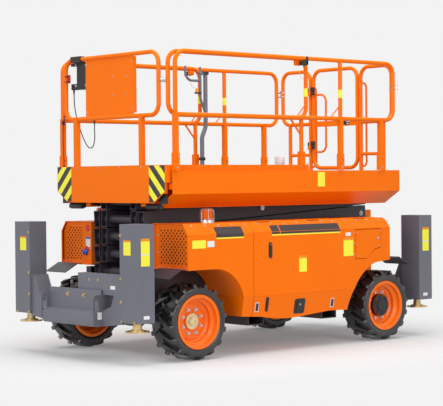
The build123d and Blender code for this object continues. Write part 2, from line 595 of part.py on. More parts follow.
flange = block(DECK_REAR_X + 4, 1345, DECK_BOTTOM_Y - 30, DECK_BOTTOM_Y + 4, DECK_BOTTOM_Z, DECK_BOTTOM_Z + 8)
roller_notch = block(1322, 1360, 450, 651, DECK_BOTTOM_Z - 10, DECK_BOTTOM_Z + 45)
deck_sides = both_sides(side_plate) + rear_plate + both_sides(flange) - both_sides(roller_notch)
save("deck_sides", deck_sides)

TOP_Z = level_z(STAGES)
RIB_Z0, RIB_Z1 = DECK_FLOOR_Z - 56, DECK_FLOOR_Z - 6
RIBS_X = (-1400, -1280, -900, -500, -100, 300, 700, 1100, 1330)
platform = both_sides(roller_track(-260, 1345, TOP_Z))
platform = platform + both_sides(block(-260, 1345, TRACK_Y1 - 8, TRACK_Y1, TOP_Z + 40, RIB_Z0 + 20))
platform = platform + both_sides(block(DECK_REAR_X + 5, -258, TRACK_Y1 - 8, TRACK_Y1, DECK_BOTTOM_Z + 10,
    RIB_Z0 + 20))
for x in RIBS_X:
    half = 25 if x == RIBS_X[0] else 20
    platform = platform + block(x - half, x + half, 5 - DECK_HALF_WIDTH, DECK_HALF_WIDTH - 5, RIB_Z0, RIB_Z1)
lug = side_prism([(ARM_REAR_X - 50, RIB_Z0 + 20), (ARM_REAR_X - 40, TOP_Z - 20), (ARM_REAR_X - 20,
    TOP_Z - 42),
                  (ARM_REAR_X + 20, TOP_Z - 42), (ARM_REAR_X + 40, TOP_Z - 20), (ARM_REAR_X + 110,
                      RIB_Z0 + 20)],
                 362, 390)
cap = block(-1430, -1260, 362, TRACK_Y1, RIB_Z0, RIB_Z0 + 20)
platform = platform + both_sides(lug) + both_sides(cap) - across(PIN_R + PIN_GAP, ARM_REAR_X, TOP_Z, -395,
    395)
save("platform_frame", platform)
floor = block(-1366, DECK_FRONT_X - 4, 6 - DECK_HALF_WIDTH, DECK_HALF_WIDTH - 6, DECK_FLOOR_Z - 6,
    DECK_FLOOR_Z)
save("platform_floor", floor - block(-269, -265, -DECK_HALF_WIDTH, DECK_HALF_WIDTH, DECK_FLOOR_Z - 3,
    DECK_FLOOR_Z + 1))

ROLLERS_X, ROLLERS_Z = 1360.0, 1288.0
deck_roller = across(24, ROLLERS_X - 8, ROLLERS_Z, 468, 633) + across(9, ROLLERS_X - 8, ROLLERS_Z, 456, 645)
for y in (455, 640):
    deck_roller = deck_roller + block(1326, 1372, y, y + 6, ROLLERS_Z - 16, ROLLERS_Z + 16)
    deck_roller = deck_roller + block(1326, 1349, y, y + 6, ROLLERS_Z - 16, RIB_Z0)
deck_roller = deck_roller + block(1357, 1372, 645, 742, 1312, 1392)
save("deck_rollers", both_sides(deck_roller))


# ---------------------------------------------------------------- guard rails
def rail_loop(a, b, z0=RAIL_MID_Z, z1=RAIL_TOP_Z, radius=RAIL_R):
    """Closed loop with rounded corners between two plan points."""
    ax, ay = a
    bx, by = b
    mx, my = (ax + bx) / 2, (ay + by) / 2
    halves = [bent_tube([(mx, my, z0), (x, y, z0), (x, y, z1), (mx, my, z1)], radius, CORNER_R)
              for x, y in (a, b)]
    return halves[0] + halves[1]


def post(x, y, z0, z1, radius=RAIL_R):
    return rod((x, y, z0), (x, y, z1), radius)


def square_post(x, y, z0, z1, half=20.0):
    return block(x - half, x + half, y - half, y + half, z0, z1)


def foot(x, y, z0, height=150.0):
    """Folding post foot: a channel sleeve with a gap for the post."""
    pull_pin = rod((x, y - 36, z0 + height - 34), (x, y + 36, z0 + height - 34), 7)
    return block(x - 26, x + 26, y - 24, y + 24, z0, z0 + height) + pull_pin


POST_BASE_Z = DECK_TOP_Z + 2
main_left = bent_tube([(1320, 800, RAIL_MID_Z), (1320, 800, RAIL_TOP_Z), (-1350, 800, RAIL_TOP_Z),
                       (-1350, 800, RAIL_MID_Z), (-1180, 800, RAIL_MID_Z)], RAIL_R, CORNER_R)
main_left = main_left + rod((1320, 800, RAIL_MID_Z), (-1180, 800, RAIL_MID_Z), RAIL_R)
main_left = main_left + post(-637, 800, RAIL_MID_Z, RAIL_TOP_Z)
for x in (1320, -637, -1170):
    main_left = main_left + square_post(x, 800, POST_BASE_Z, RAIL_MID_Z + 14) + foot(x, 800, POST_BASE_Z)
save("rails_main", both_sides(main_left))

REAR_RAIL_X = DECK_REAR_X + 45
rear_rail = bent_tube([(REAR_RAIL_X, 345, RIB_Z1), (REAR_RAIL_X, 345, RAIL_TOP_Z), (REAR_RAIL_X, 745,
    RAIL_TOP_Z),
                       (REAR_RAIL_X, 745, RAIL_MID_Z), (REAR_RAIL_X, 345, RAIL_MID_Z)], RAIL_R, CORNER_R)
rear_rail = rear_rail + post(REAR_RAIL_X, 640, RIB_Z1, RAIL_MID_Z)
rear_rail = rear_rail + rod((REAR_RAIL_X, 345, 1750), (REAR_RAIL_X, 640, 1750), RAIL_R - 3)
rails_rear = rear_rail + Pos(2 * REAR_RAIL_X, 0, 0) * (Rot(0, 0, 180) * rear_rail)
GATE_Y = 300.0
GATE_HINGE_X, GATE_HINGE_Y = REAR_RAIL_X + 35, -322.5
GATE_HINGES_Z = (1850.0, 2390.0)
gate_z0 = DECK_FLOOR_Z + 130
gate = rail_loop((REAR_RAIL_X, -GATE_Y), (REAR_RAIL_X, GATE_Y), gate_z0, RAIL_TOP_Z)
gate = gate + block(REAR_RAIL_X - 4, REAR_RAIL_X + 4, -GATE_Y, GATE_Y, 2030, 2085)
gate = gate + bent_tube([(REAR_RAIL_X, -GATE_Y, 1780), (REAR_RAIL_X, -130, 1780), (REAR_RAIL_X, -130, 2350),
                         (REAR_RAIL_X, -GATE_Y, 2350)], 11, 70)
for z in GATE_HINGES_Z:
    pin_foot, pin_head = (GATE_HINGE_X, GATE_HINGE_Y, z - 45), (GATE_HINGE_X, GATE_HINGE_Y, z + 30)
    gate = gate + rod((GATE_HINGE_X, GATE_HINGE_Y, z - 10), pin_head, 11)
    gate = gate + block(REAR_RAIL_X + 8, GATE_HINGE_X, GATE_HINGE_Y, -GATE_Y, z - 10, z + 30)
    gate = gate - rod((GATE_HINGE_X, GATE_HINGE_Y, z - 11), (GATE_HINGE_X, GATE_HINGE_Y, z + 31), 6 + PIN_GAP)
    ear = block(REAR_RAIL_X + 8, GATE_HINGE_X + 3, -350, GATE_HINGE_Y - 3, z - 45, z - 12)
    rails_rear = rails_rear + ear + rod(pin_foot, (GATE_HINGE_X, GATE_HINGE_Y, z - 12), 11)
    rails_rear = rails_rear + rod(pin_foot, pin_head, 6)
for y in (345, -345):
    rails_rear = rails_rear + bent_tube([(REAR_RAIL_X, y, 2440), (REAR_RAIL_X - 78, y, 2440),
                                         (REAR_RAIL_X - 78, y, 1632), (REAR_RAIL_X, y, 1632)], 10, 45)
save("rails_rear", rails_rear)
save("gate", gate)

# ---------------------------------------------------------------- extension deck
EXT_FRONT_X, EXT_REAR_X = 1410.0, -260.0
EXT_HALF_WIDTH = 768.0
EXT_TOP_Z, EXT_LOW_Z = 1640.0, 1320.0
plate = end_prism([(-EXT_HALF_WIDTH, EXT_TOP_Z), (-EXT_HALF_WIDTH, 1418), (-613, EXT_LOW_Z), (613, EXT_LOW_Z),
                   (EXT_HALF_WIDTH, 1418), (EXT_HALF_WIDTH, EXT_TOP_Z)], EXT_FRONT_X - 5, EXT_FRONT_X)
toe = block(EXT_REAR_X, EXT_FRONT_X - 4, 740, 768, DECK_FLOOR_Z + 0.5, EXT_TOP_Z)
extension = plate + both_sides(toe)
extension = extension + block(1362, EXT_FRONT_X - 4, -740, 740, DECK_FLOOR_Z - 90, DECK_FLOOR_Z + 8)
save("extension_frame", extension)
save("extension_floor", block(EXT_REAR_X, 1362, -739, 739, DECK_FLOOR_Z + 8, DECK_FLOOR_Z + 16))

rail_front = rail_loop((1382, -660), (1382, 660))
for y in (430, -500):
    half = 26 if y < 0 else 20
    rail_front = rail_front + block(1363, 1403, y - half, y + half, DECK_FLOOR_Z + 8, RAIL_MID_Z + 14)
rail_front = rail_front + block(1380, 1384, -360, 325, RAIL_MID_Z, RAIL_TOP_Z)
extension_loop = rail_loop((1343, 735), (-262, 735))
extension_loop = extension_loop + post(-200, 735, EXT_TOP_Z, RAIL_MID_Z) + foot(-200, 735, EXT_TOP_Z, 120)
extension_loop = extension_loop + rod((-200, 735, 1900), (-60, 735, RAIL_MID_Z), 9)
save("rails_extension", both_sides(extension_loop))

BOX_X, BOX_FOOT_Z = 1350.0, 2328.0         # console behind the front rail
console = [(BOX_X, BOX_FOOT_Z), (BOX_X, 2560), (1290, 2560), (1222, 2505), (1222, 2440), (1262, BOX_FOOT_Z)]
control_box = side_prism(console, -540, -372)
control_box = control_box + block(1300, BOX_X, -628, -539, 2538, 2560) + block(1290, BOX_X, -624, -539,
    BOX_FOOT_Z, 2380)
sleeve = block(1356, 1408, -556, -410, 2564, 2616) - rod((1382, -560, RAIL_TOP_Z), (1382, -400,
    RAIL_TOP_Z), RAIL_R + 0.2)
control_box = control_box + sleeve + block(1340, 1366, -552, -414, 2552, 2570)
save("control_box", control_box)

document_box = block(1305, 1380, 40, 346, 2112, 2441) - block(1309, 1376, 44, 342, 2116, 2442)
save("document_box", document_box)

HANDLE_Y = -640.0
handle_post = bent_tube([(-204, HANDLE_Y, DECK_FLOOR_Z + 16), (-204, HANDLE_Y, 1925), (-252, HANDLE_Y, 2025),
                         (-252, HANDLE_Y, 2556)], 21, 110)
handle_grip = bent_tube([(-186, HANDLE_Y, 2600), (-186, HANDLE_Y, 2300), (-250, HANDLE_Y, 2160)], 12, 60)
hook = bent_tube([(0, HANDLE_Y, 2604), (0, HANDLE_Y, 2468), (-186, HANDLE_Y, 2468)], 12, 80)
clamp = block(-262, -176, HANDLE_Y - 14, HANDLE_Y + 14, 2524, 2548)
save("push_handle", handle_post + handle_grip + hook + clamp)


def cord(points, diameter):
    """Tube of straight runs and tangent arcs, with each arc as wide as its runs allow."""
    ends = [Vector(*p) for p in points]
    runs = [(b - a).length for a, b in zip(ends, ends[1:])]
    radii = []
    for i in range(1, len(ends) - 1):
        turn = radians((ends[i] - ends[i - 1]).get_angle(ends[i + 1] - ends[i]))
        radii.append(0.45 * min(runs[i - 1], runs[i]) / tan(turn / 2))
    print("arc radii", [round(r) for r in radii])
    line = FilletPolyline(*points, radius=radii)
    start = Plane(origin=line @ 0, z_dir=line % 0)
    return sweep(start * Circle(diameter / 2), path=line)


CONTROL_CORD = [(1330, -612, 2328), (1330, -612, 2225), (1330, -594, 2130), (1330, -556, 2040),
                (1330, -512, 1950), (1330, -462, 1868), (1330, -398, 1800), (1330, -332, 1806),
                (1330, -304, 1884), (1330, -310, 1968), (1330, -310, 2052)]
POST_CABLE = [(1345, -758, 1640), (1345, -758, 1750), (1346, -767, 1865), (1345, -764, 1980),
              (1340, -766, 2042), (1325, -760, 2088)]
save("control_cord", cord(CONTROL_CORD, 9))
save("post_cable", cord(POST_CABLE, 8))
cord_clip = block(1324, 1366, -320, -300, 2052, 2068)
save("rail_front", rail_front + cord_clip)

for name, shape in PARTS.items():
    export_step(shape, f"parts/{name}.step")
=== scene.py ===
"""Looks of the rough-terrain scissor lift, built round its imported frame.

Metres, +X to the steering end, +Y to the machine's left, +Z up.
"""
import math

import bmesh
import bpy
from mathutils import Matrix, Vector
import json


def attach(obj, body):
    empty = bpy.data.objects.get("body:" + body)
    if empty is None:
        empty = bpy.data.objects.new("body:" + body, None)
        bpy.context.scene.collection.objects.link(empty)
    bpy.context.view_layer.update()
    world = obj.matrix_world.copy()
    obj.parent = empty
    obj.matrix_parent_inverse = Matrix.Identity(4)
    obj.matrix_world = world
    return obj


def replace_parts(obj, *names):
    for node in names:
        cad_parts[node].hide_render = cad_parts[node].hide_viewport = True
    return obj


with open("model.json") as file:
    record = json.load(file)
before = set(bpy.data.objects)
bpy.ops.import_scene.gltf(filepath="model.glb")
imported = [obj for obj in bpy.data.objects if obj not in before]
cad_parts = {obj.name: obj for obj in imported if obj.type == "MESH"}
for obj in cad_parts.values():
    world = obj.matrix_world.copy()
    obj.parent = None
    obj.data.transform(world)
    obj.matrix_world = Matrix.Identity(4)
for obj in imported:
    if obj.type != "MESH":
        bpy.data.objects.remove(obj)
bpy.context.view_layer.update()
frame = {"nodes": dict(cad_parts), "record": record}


# ---------------------------------------------------------------- camera, lamps, floor
SENSOR_WIDTH, LENS = 36.0, 123.19                      # mm
CAMERA_PLACE = (9.3426, 10.4981, 1.5141)
HEADING, DIP, ROLL = 180 - 41.3138, 0.8898, -0.4965    # degrees
# name, place, target, size and watts of each lamp
LAMPS = (("lamp_top", (0.5, 1.0, 7.5), (0, 0, 0.5), (8, 8), 560),
         ("lamp_front", (8.5, 2.5, 3.2), (0, 0, 1.2), (5, 4), 198),
         ("lamp_side", (1.0, 9.0, 3.4), (0, 0, 1.2), (6, 4), 180))
BACKDROP = 0.896          # the pale background, linear
AMBIENT = 0.52            # the even light on the object
FLOOR_RADIUS, FLOOR_Z, FLOOR_STRETCH = 14, -0.0005, (1.35, 1, 1)
FADE_FROM, FADE_TO = 1.25, 2.7            # from the floor's middle, before the stretch
FLOOR_PAINT, FLOOR_GLOW = (0.57, 0.575, 0.58, 1), (0.17, 0.17, 0.17, 1)


def make_camera():
    data = bpy.data.cameras.new("camera")
    data.sensor_width = SENSOR_WIDTH
    data.lens = LENS
    camera = bpy.data.objects.new("camera", data)
    turn = Matrix.Rotation(math.radians(HEADING), 4, "Z")
    tilt = Matrix.Rotation(math.radians(90 - DIP), 4, "X")
    roll = Matrix.Rotation(math.radians(ROLL), 4, "Z")
    camera.matrix_world = Matrix.Translation(CAMERA_PLACE) @ turn @ tilt @ roll
    bpy.context.scene.collection.objects.link(camera)
    bpy.context.scene.camera = camera


def area_lamp(name, place, target, size, power):
    data = bpy.data.lights.new(name, "AREA")
    data.shape, data.size, data.size_y = "RECTANGLE", size[0], size[1]
    data.energy = power
    lamp = bpy.data.objects.new(name, data)
    lamp.location = place
    lamp.rotation_mode = "QUATERNION"
    lamp.rotation_quaternion = (Vector(target) - Vector(place)).to_track_quat("-Z", "Y")
    bpy.context.scene.collection.objects.link(lamp)


def make_world():
    """Even light on the object; camera rays, reflections and clear rays see the pale backdrop."""
    world = bpy.data.worlds.new("studio")
    bpy.context.scene.world = world
    world.use_nodes = True
    nodes, links = world.node_tree.nodes, world.node_tree.links
    nodes.clear()
    path = nodes.new("ShaderNodeLightPath")
    seen = nodes.new("ShaderNodeMath")
    seen.operation = "MAXIMUM"
    links.new(path.outputs["Is Camera Ray"], seen.inputs[0])
    clear = nodes.new("ShaderNodeMath")
    clear.operation = "MAXIMUM"
    links.new(path.outputs["Is Glossy Ray"], clear.inputs[0])
    links.new(path.outputs["Is Transmission Ray"], clear.inputs[1])
    links.new(clear.outputs[0], seen.inputs[1])
    soft, pale = nodes.new("ShaderNodeBackground"), nodes.new("ShaderNodeBackground")
    soft.inputs["Strength"].default_value = AMBIENT
    soft.inputs["Color"].default_value = (1, 1, 1, 1)
    pale.inputs["Color"].default_value = (BACKDROP, BACKDROP, BACKDROP, 1)
    mix, out = nodes.new("ShaderNodeMixShader"), nodes.new("ShaderNodeOutputWorld")
    links.new(seen.outputs[0], mix.inputs[0])
    links.new(soft.outputs[0], mix.inputs[1])
    links.new(pale.outputs[0], mix.inputs[2])
    links.new(mix.outputs[0], out.inputs["Surface"])


def make_floor():
    """A pale disc that fades into the backdrop at its rim."""
    mesh = bpy.data.meshes.new("floor")
    shape = bmesh.new()
    bmesh.ops.create_circle(shape, cap_ends=True, radius=FLOOR_RADIUS, segments=96)
    shape.to_mesh(mesh)
    shape.free()
    floor = bpy.data.objects.new("floor", mesh)
    floor.location = (0, 0, FLOOR_Z)
    floor.scale = FLOOR_STRETCH
    bpy.context.scene.collection.objects.link(floor)
    material = bpy.data.materials.new("floor")
    material.use_nodes = True
    nodes, links = material.node_tree.nodes, material.node_tree.links
    nodes.clear()
    place = nodes.new("ShaderNodeTexCoord")
    length = nodes.new("ShaderNodeVectorMath")
    length.operation = "LENGTH"
    links.new(place.outputs["Object"], length.inputs[0])
    fade = nodes.new("ShaderNodeMapRange")
    fade.interpolation_type = "SMOOTHSTEP"
    fade.inputs["From Min"].default_value = FADE_FROM
    fade.inputs["From Max"].default_value = FADE_TO
    links.new(length.outputs["Value"], fade.inputs["Value"])
    paper, glow = nodes.new("ShaderNodeBsdfDiffuse"), nodes.new("ShaderNodeEmission")
    paper.inputs["Color"].default_value = FLOOR_PAINT
    glow.inputs["Color"].default_value = FLOOR_GLOW
    lit = nodes.new("ShaderNodeAddShader")
    links.new(paper.outputs[0], lit.inputs[0])
    links.new(glow.outputs[0], lit.inputs[1])
    gone = nodes.new("ShaderNodeBsdfTransparent")
    mix, out = nodes.new("ShaderNodeMixShader"), nodes.new("ShaderNodeOutputMaterial")
    links.new(fade.outputs["Result"], mix.inputs[0])
    links.new(lit.outputs[0], mix.inputs[1])
    links.new(gone.outputs[0], mix.inputs[2])
    links.new(mix.outputs[0], out.inputs["Surface"])
    mesh.materials.append(material)


make_camera()
make_world()
for lamp_row in LAMPS:
    area_lamp(*lamp_row)
make_floor()
bpy.context.scene.view_settings.view_transform = "Standard"


# ---------------------------------------------------------------- materials
def linear(*colour):
    """Screen values 0-255 to a linear colour."""
    scaled = [c / 255 for c in colour]
    return [c / 12.92 if c <= 0.04045 else ((c + 0.055) / 1.055) ** 2.4 for c in scaled]


DUST_COLOUR, DUST_TOP = (170, 158, 142), 0.9      # dust thins out upward and ends at this height


def surface(name, colour, rough=0.4, metal=0.0, coat=0.0, vary=0.08, cloud=2.5, grain=180.0, bump=0.02,
            dust=0.0, spread=0.08, specular=0.5):
    """Paint, metal or rubber with cloudy colour, uneven gloss, fine grain and dust low down."""
    material = bpy.data.materials.new(name)
    material.use_nodes = True
    nodes, links = material.node_tree.nodes, material.node_tree.links
    shader = nodes["Principled BSDF"]
    shader.inputs["Metallic"].default_value = metal
    shader.inputs["Specular IOR Level"].default_value = specular
    shader.inputs["Coat Weight"].default_value = coat
    shader.inputs["Coat Roughness"].default_value = 0.12
    place = nodes.new("ShaderNodeTexCoord")
    clouds = nodes.new("ShaderNodeTexNoise")
    clouds.inputs["Scale"].default_value = cloud
    clouds.inputs["Detail"].default_value = 5
    links.new(place.outputs["Object"], clouds.inputs["Vector"])
    ramp = nodes.new("ShaderNodeValToRGB")
    base = linear(*colour)
    dark, light = [c * (1 - vary) for c in base], [min(1.0, c * (1 + vary)) for c in base]
    ramp.color_ramp.elements[0].position = 0.35
    ramp.color_ramp.elements[1].position = 0.65
    ramp.color_ramp.elements[0].color = (*dark, 1)
    ramp.color_ramp.elements[1].color = (*light, 1)
    links.new(clouds.outputs["Fac"], ramp.inputs["Fac"])
    tint = ramp.outputs["Color"]
    if dust:
        height = nodes.new("ShaderNodeSeparateXYZ")
        links.new(place.outputs["Object"], height.inputs[0])
        low = nodes.new("ShaderNodeMapRange")
        low.inputs["From Min"].default_value = 0.0
        low.inputs["From Max"].default_value = DUST_TOP
        low.inputs["To Min"].default_value = dust
        low.inputs["To Max"].default_value = 0.0
        links.new(height.outputs["Z"], low.inputs["Value"])
        patches = nodes.new("ShaderNodeMath")
        patches.operation = "MULTIPLY"
        links.new(low.outputs["Result"], patches.inputs[0])
        links.new(clouds.outputs["Fac"], patches.inputs[1])
        mix = nodes.new("ShaderNodeMixRGB")
        mix.inputs["Color2"].default_value = (*linear(*DUST_COLOUR), 1)
        links.new(patches.outputs[0], mix.inputs["Fac"])
        links.new(tint, mix.inputs["Color1"])
        tint = mix.outputs["Color"]
    links.new(tint, shader.inputs["Base Color"])
    gloss = nodes.new("ShaderNodeMapRange")
    gloss.inputs["To Min"].default_value = max(0.03, rough - spread)
    gloss.inputs["To Max"].default_value = min(1.0, rough + spread)
    links.new(clouds.outputs["Fac"], gloss.inputs["Value"])
    links.new(gloss.outputs["Result"], shader.inputs["Roughness"])
    grains = nodes.new("ShaderNodeTexNoise")
    grains.inputs["Scale"].default_value = grain
    grains.inputs["Detail"].default_value = 3
    links.new(place.outputs["Object"], grains.inputs["Vector"])
    relief = nodes.new("ShaderNodeBump")
    relief.inputs["Strength"].default_value = bump
    relief.inputs["Distance"].default_value = 0.002
    links.new(grains.outputs["Fac"], relief.inputs["Height"])
    links.new(relief.outputs["Normal"], shader.inputs["Normal"])
    return material


ORANGE = surface("orange_paint", (255, 118, 3), rough=0.36, coat=0.04, vary=0.025, bump=0.05,
                 specular=0.1)
RIM_ORANGE = surface("rim_paint", (255, 119, 6), rough=0.3, coat=0.2, vary=0.04, bump=0.04, dust=0.02,
                     specular=0.3)
CHARCOAL = surface("charcoal_paint", (56, 52, 58), rough=0.42, vary=0.12, bump=0.08, dust=0.1)
GREY = surface("grey_paint", (106, 107, 117), rough=0.42, vary=0.04, grain=260, bump=0.1, dust=0.06)
ZINC = surface("zinc", (205, 178, 128), rough=0.34, metal=0.85, vary=0.2, cloud=14, bump=0.05)
RUBBER = surface("tyre", (29, 29, 31), rough=0.28, vary=0.15, cloud=9, grain=320, bump=0.14, dust=0.03,
                 specular=0.7)
PLASTIC = surface("black_plastic", (30, 30, 33), rough=0.5, vary=0.1, grain=500, bump=0.15)
DARK_PLASTIC = surface("dark_plastic", (58, 52, 60), rough=0.45, vary=0.1, grain=500, bump=0.12)
CHROME = surface("chrome", (215, 216, 220), rough=0.12, metal=1.0, vary=0.03, bump=0.01, spread=0.04)
STEEL = surface("bright_steel", (190, 190, 192), rough=0.3, metal=0.9, vary=0.1, cloud=20, bump=0.04)
HUB_METAL = surface("hub_metal", (222, 206, 160), rough=0.3, metal=0.55, vary=0.12, cloud=20, bump=0.05)
AMBER = surface("amber", (232, 106, 0), rough=0.35, vary=0.06, bump=0.03, specular=0.1)
DECK = surface("deck_plate", (150, 150, 152), rough=0.38, metal=0.8, vary=0.12, cloud=6, bump=0.06)
CABLE = surface("cable", (24, 24, 26), rough=0.5, vary=0.1, bump=0.05)
YELLOW = surface("yellow_film", (252, 244, 70), rough=0.35, vary=0.03, bump=0.03, specular=0.3)
SIGN_ORANGE = surface("orange_film", (247, 148, 20), rough=0.35, vary=0.03, bump=0.03, specular=0.3)
WHITE = surface("white_film", (236, 236, 236), rough=0.35, vary=0.02, bump=0.03, specular=0.3)
SCREEN = surface("dark_screen", (14, 12, 13), rough=0.8, vary=0.2, cloud=30, grain=400, bump=0.3,
                 specular=0.1)
DARK_FILM = surface("dark_film", (52, 42, 44), rough=0.4, vary=0.06, bump=0.03)
RED = surface("red_plastic", (214, 34, 24), rough=0.3, vary=0.05, bump=0.03)
BLUE = surface("blue_plastic", (30, 96, 200), rough=0.35, vary=0.05, bump=0.03)
SLOTS = {"orange_paint": ORANGE, "rim_paint": RIM_ORANGE, "charcoal_paint": CHARCOAL, "grey_paint": GREY,
         "zinc": ZINC, "tyre": RUBBER, "amber": AMBER, "deck_plate": DECK, "black_plastic": PLASTIC,
         "dark_plastic": DARK_PLASTIC, "chrome": CHROME, "cable": CABLE}


def dress_nodes():
    """Every CAD node gets the finish of its own material slot."""
    for row in frame["record"]["subparts"]:
        node = frame["nodes"][row["node"]]
        node.data.materials.clear()
        node.data.materials.append(SLOTS.get(row["material_slot"], PLASTIC))


dress_nodes()


# ---------------------------------------------------------------- building helpers
def turns(count, offset=0.0):
    """Angles of equal steps round a circle."""
    return [2 * math.pi * (k + offset) / count for k in range(count)]


def rectangle(a0, a1, b0, b1):
    """Corners of a rectangle, in order."""
    return [(a0, b0), (a1, b0), (a1, b1), (a0, b1)]


def closed_wall(count):
    """Faces round two equal outlines of points, with both ends closed."""
    walls = [(i, (i + 1) % count, (i + 1) % count + count, i + count) for i in range(count)]
    return walls + [tuple(reversed(range(count))), tuple(range(count, 2 * count))]


SHARP_DEGREES = 38        # edges steeper than this stay sharp on smooth pieces
# radius and height of the bolt heads
LARGE_BOLT, PLATE_BOLT, SMALL_BOLT, TINY_BOLT = (0.014, 0.016), (0.009, 0.007), (0.006, 0.004), (0.005, 0.003)


class Piece:
    """Many small shapes joined into one mesh that rides on one body."""

    def __init__(self, name, body, material):
        self.name, self.body, self.material = name, body, material
        self.shape = bmesh.new()

    def faces(self, points, faces):
        corners = [self.shape.verts.new(p) for p in points]
        for face in faces:
            self.shape.faces.new([corners[i] for i in face])

    def box(self, x0, x1, y0, y1, z0, z1, chamfer=0.0):
        """Block shaped by itself first, since faces added to a bevelled mesh vary in order."""
        block = bmesh.new()
        bmesh.ops.create_cube(block, size=1)
        centre = Vector(((x0 + x1) / 2, (y0 + y1) / 2, (z0 + z1) / 2))
        size = Vector((abs(x1 - x0), abs(y1 - y0), abs(z1 - z0)))
        for corner in block.verts:
            corner.co = Vector([centre[i] + corner.co[i] * size[i] for i in range(3)])
        if chamfer:
            bmesh.ops.bevel(block, geom=list(block.edges), offset=chamfer, segments=2, affect="EDGES",
                            profile=0.5)
        block.verts.index_update()
        self.faces([corner.co.copy() for corner in block.verts],
                   [[corner.index for corner in face.verts] for face in block.faces])
        block.free()

    def rod(self, start, end, radius, sides=16, end_radius=None):
        start, end = Vector(start), Vector(end)
        turn = (end - start).to_track_quat("Z", "Y").to_matrix().to_4x4()
        bmesh.ops.create_cone(self.shape, cap_ends=True, segments=sides, radius1=radius,
                              radius2=radius if end_radius is None else end_radius,
                              depth=(end - start).length,
                              matrix=Matrix.Translation((start + end) / 2) @ turn)

    def bolt(self, place, normal, radius=0.009, height=0.007):
        """Washer, hexagon head and the end of its shank."""
        place, normal = Vector(place), Vector(normal).normalized()
        self.rod(place - normal * 0.001, place + normal * 0.0018, radius * 1.35, 16)
        self.rod(place, place + normal * height, radius, 6)
        self.rod(place, place + normal * (height + 0.002), radius * 0.5, 10, radius * 0.35)

    def prism(self, outline, axis, low, high):
        """Outline in the other two axes, in order, between two values along axis."""
        def at(point, level):
            if axis == "x":
                return (level, *point)
            return (point[0], level, point[1]) if axis == "y" else (*point, level)
        points = [at(p, low) for p in outline] + [at(p, high) for p in outline]
        self.faces(points, closed_wall(len(outline)))

    def loft(self, rings, closed=False):
        """Skin over equal rings of points."""
        count = len(rings[0])
        points = [p for ring in rings for p in ring]
        skin = []
        for k in range(len(rings) if closed else len(rings) - 1):
            a, b = k * count, (k + 1) % len(rings) * count
            skin += [(a + i, a + (i + 1) % count, b + (i + 1) % count, b + i) for i in range(count)]
        if not closed:
            last = (len(rings) - 1) * count
            skin += [tuple(reversed(range(count))), tuple(range(last, last + count))]
        self.faces(points, skin)

    def tube(self, points, radius, sides=10, closed=False):
        """Round wire through the points."""
        points = [Vector(p) for p in points]
        rings, across = [], None
        for i, point in enumerate(points):
            before = points[i - 1] if i or closed else point
            after = points[(i + 1) % len(points)] if i < len(points) - 1 or closed else point
            along = (after - before).normalized()
            if across is None:
                across = along.orthogonal()
            across = (across - along * across.dot(along)).normalized()
            other = along.cross(across)
            rings.append([point + (across * math.cos(t) + other * math.sin(t)) * radius
                          for t in turns(sides)])
        self.loft(rings, closed)

    def done(self, smooth=False, slot=None):
        bmesh.ops.recalc_face_normals(self.shape, faces=self.shape.faces)
        mesh = bpy.data.meshes.new(self.name)
        self.shape.to_mesh(mesh)
        self.shape.free()
        if smooth:
            mesh.polygons.foreach_set("use_smooth", [True] * len(mesh.polygons))
            mesh.set_sharp_from_angle(angle=math.radians(SHARP_DEGREES))
        mesh.materials.append(self.material)
        piece = bpy.data.objects.new(self.name, mesh)
        bpy.context.scene.collection.objects.link(piece)
        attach(piece, self.body)
        return piece


SIDES = ((1, "left"), (-1, "right"))
ENDS = ((1, "front"), (-1, "rear"))
AXLE_X, WHEEL_Y, TYRE_RADIUS = 1.145, 0.74, 0.325


# ---------------------------------------------------------------- cords
# points of the centre lines, from the exit to the far end
CONTROL_CORD = [(1.33, -0.612, 2.328), (1.33, -0.612, 2.225), (1.33, -0.594, 2.13), (1.33, -0.556, 2.04),
                (1.33, -0.512, 1.95), (1.33, -0.462, 1.868), (1.33, -0.398, 1.8), (1.33, -0.332, 1.806),
                (1.33, -0.304, 1.884), (1.33, -0.31, 1.968), (1.33, -0.31, 2.052)]
POST_CABLE = [(1.345, -0.758, 1.64), (1.345, -0.758, 1.75), (1.346, -0.767, 1.865), (1.345, -0.764, 1.98),
              (1.34, -0.766, 2.042), (1.325, -0.76, 2.088)]


def cord(name, points, diameter, node):
    curve = bpy.data.curves.new(name, "CURVE")
    curve.dimensions = "3D"
    curve.bevel_depth = diameter / 2
    curve.bevel_resolution = 4
    curve.use_fill_caps = True
    curve.resolution_u = 10
    line = curve.splines.new("NURBS")
    line.points.add(len(points) - 1)
    for spot, point in zip(line.points, points):
        spot.co = (*point, 1)
    line.order_u = 3
    line.use_endpoint_u = True
    curve.materials.append(CABLE)
    piece = bpy.data.objects.new(name, curve)
    bpy.context.scene.collection.objects.link(piece)
    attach(piece, "extension")
    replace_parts(piece, node)


relief = Piece("cord_reliefs", "extension", CABLE)
relief.rod((1.33, -0.612, 2.335), (1.33, -0.612, 2.285), 0.0105, 16, 0.0056)
relief.rod((1.33, -0.31, 2.052), (1.33, -0.31, 2.012), 0.0095, 16, 0.0056)
relief.box(1.318, 1.342, -0.626, -0.598, 2.328, 2.35, 0.003)
relief.done(smooth=True)
clips = Piece("cable_clips", "extension", PLASTIC)
clips.box(1.329, 1.352, -0.781, -0.757, 2.024, 2.056, 0.004)
clips.box(1.337, 1.353, -0.768, -0.748, 1.639, 1.652, 0.002)
clips.tube([(1.325 + 0.0235 * math.cos(t), -0.738 + 0.027 * math.sin(t), 2.092) for t in turns(20)],
           0.003, 8, closed=True)
clips.done(smooth=True)
cord("control_cord_line", CONTROL_CORD, 0.009, "control_cord")
cord("post_cable_line", POST_CABLE, 0.008, "post_cable")


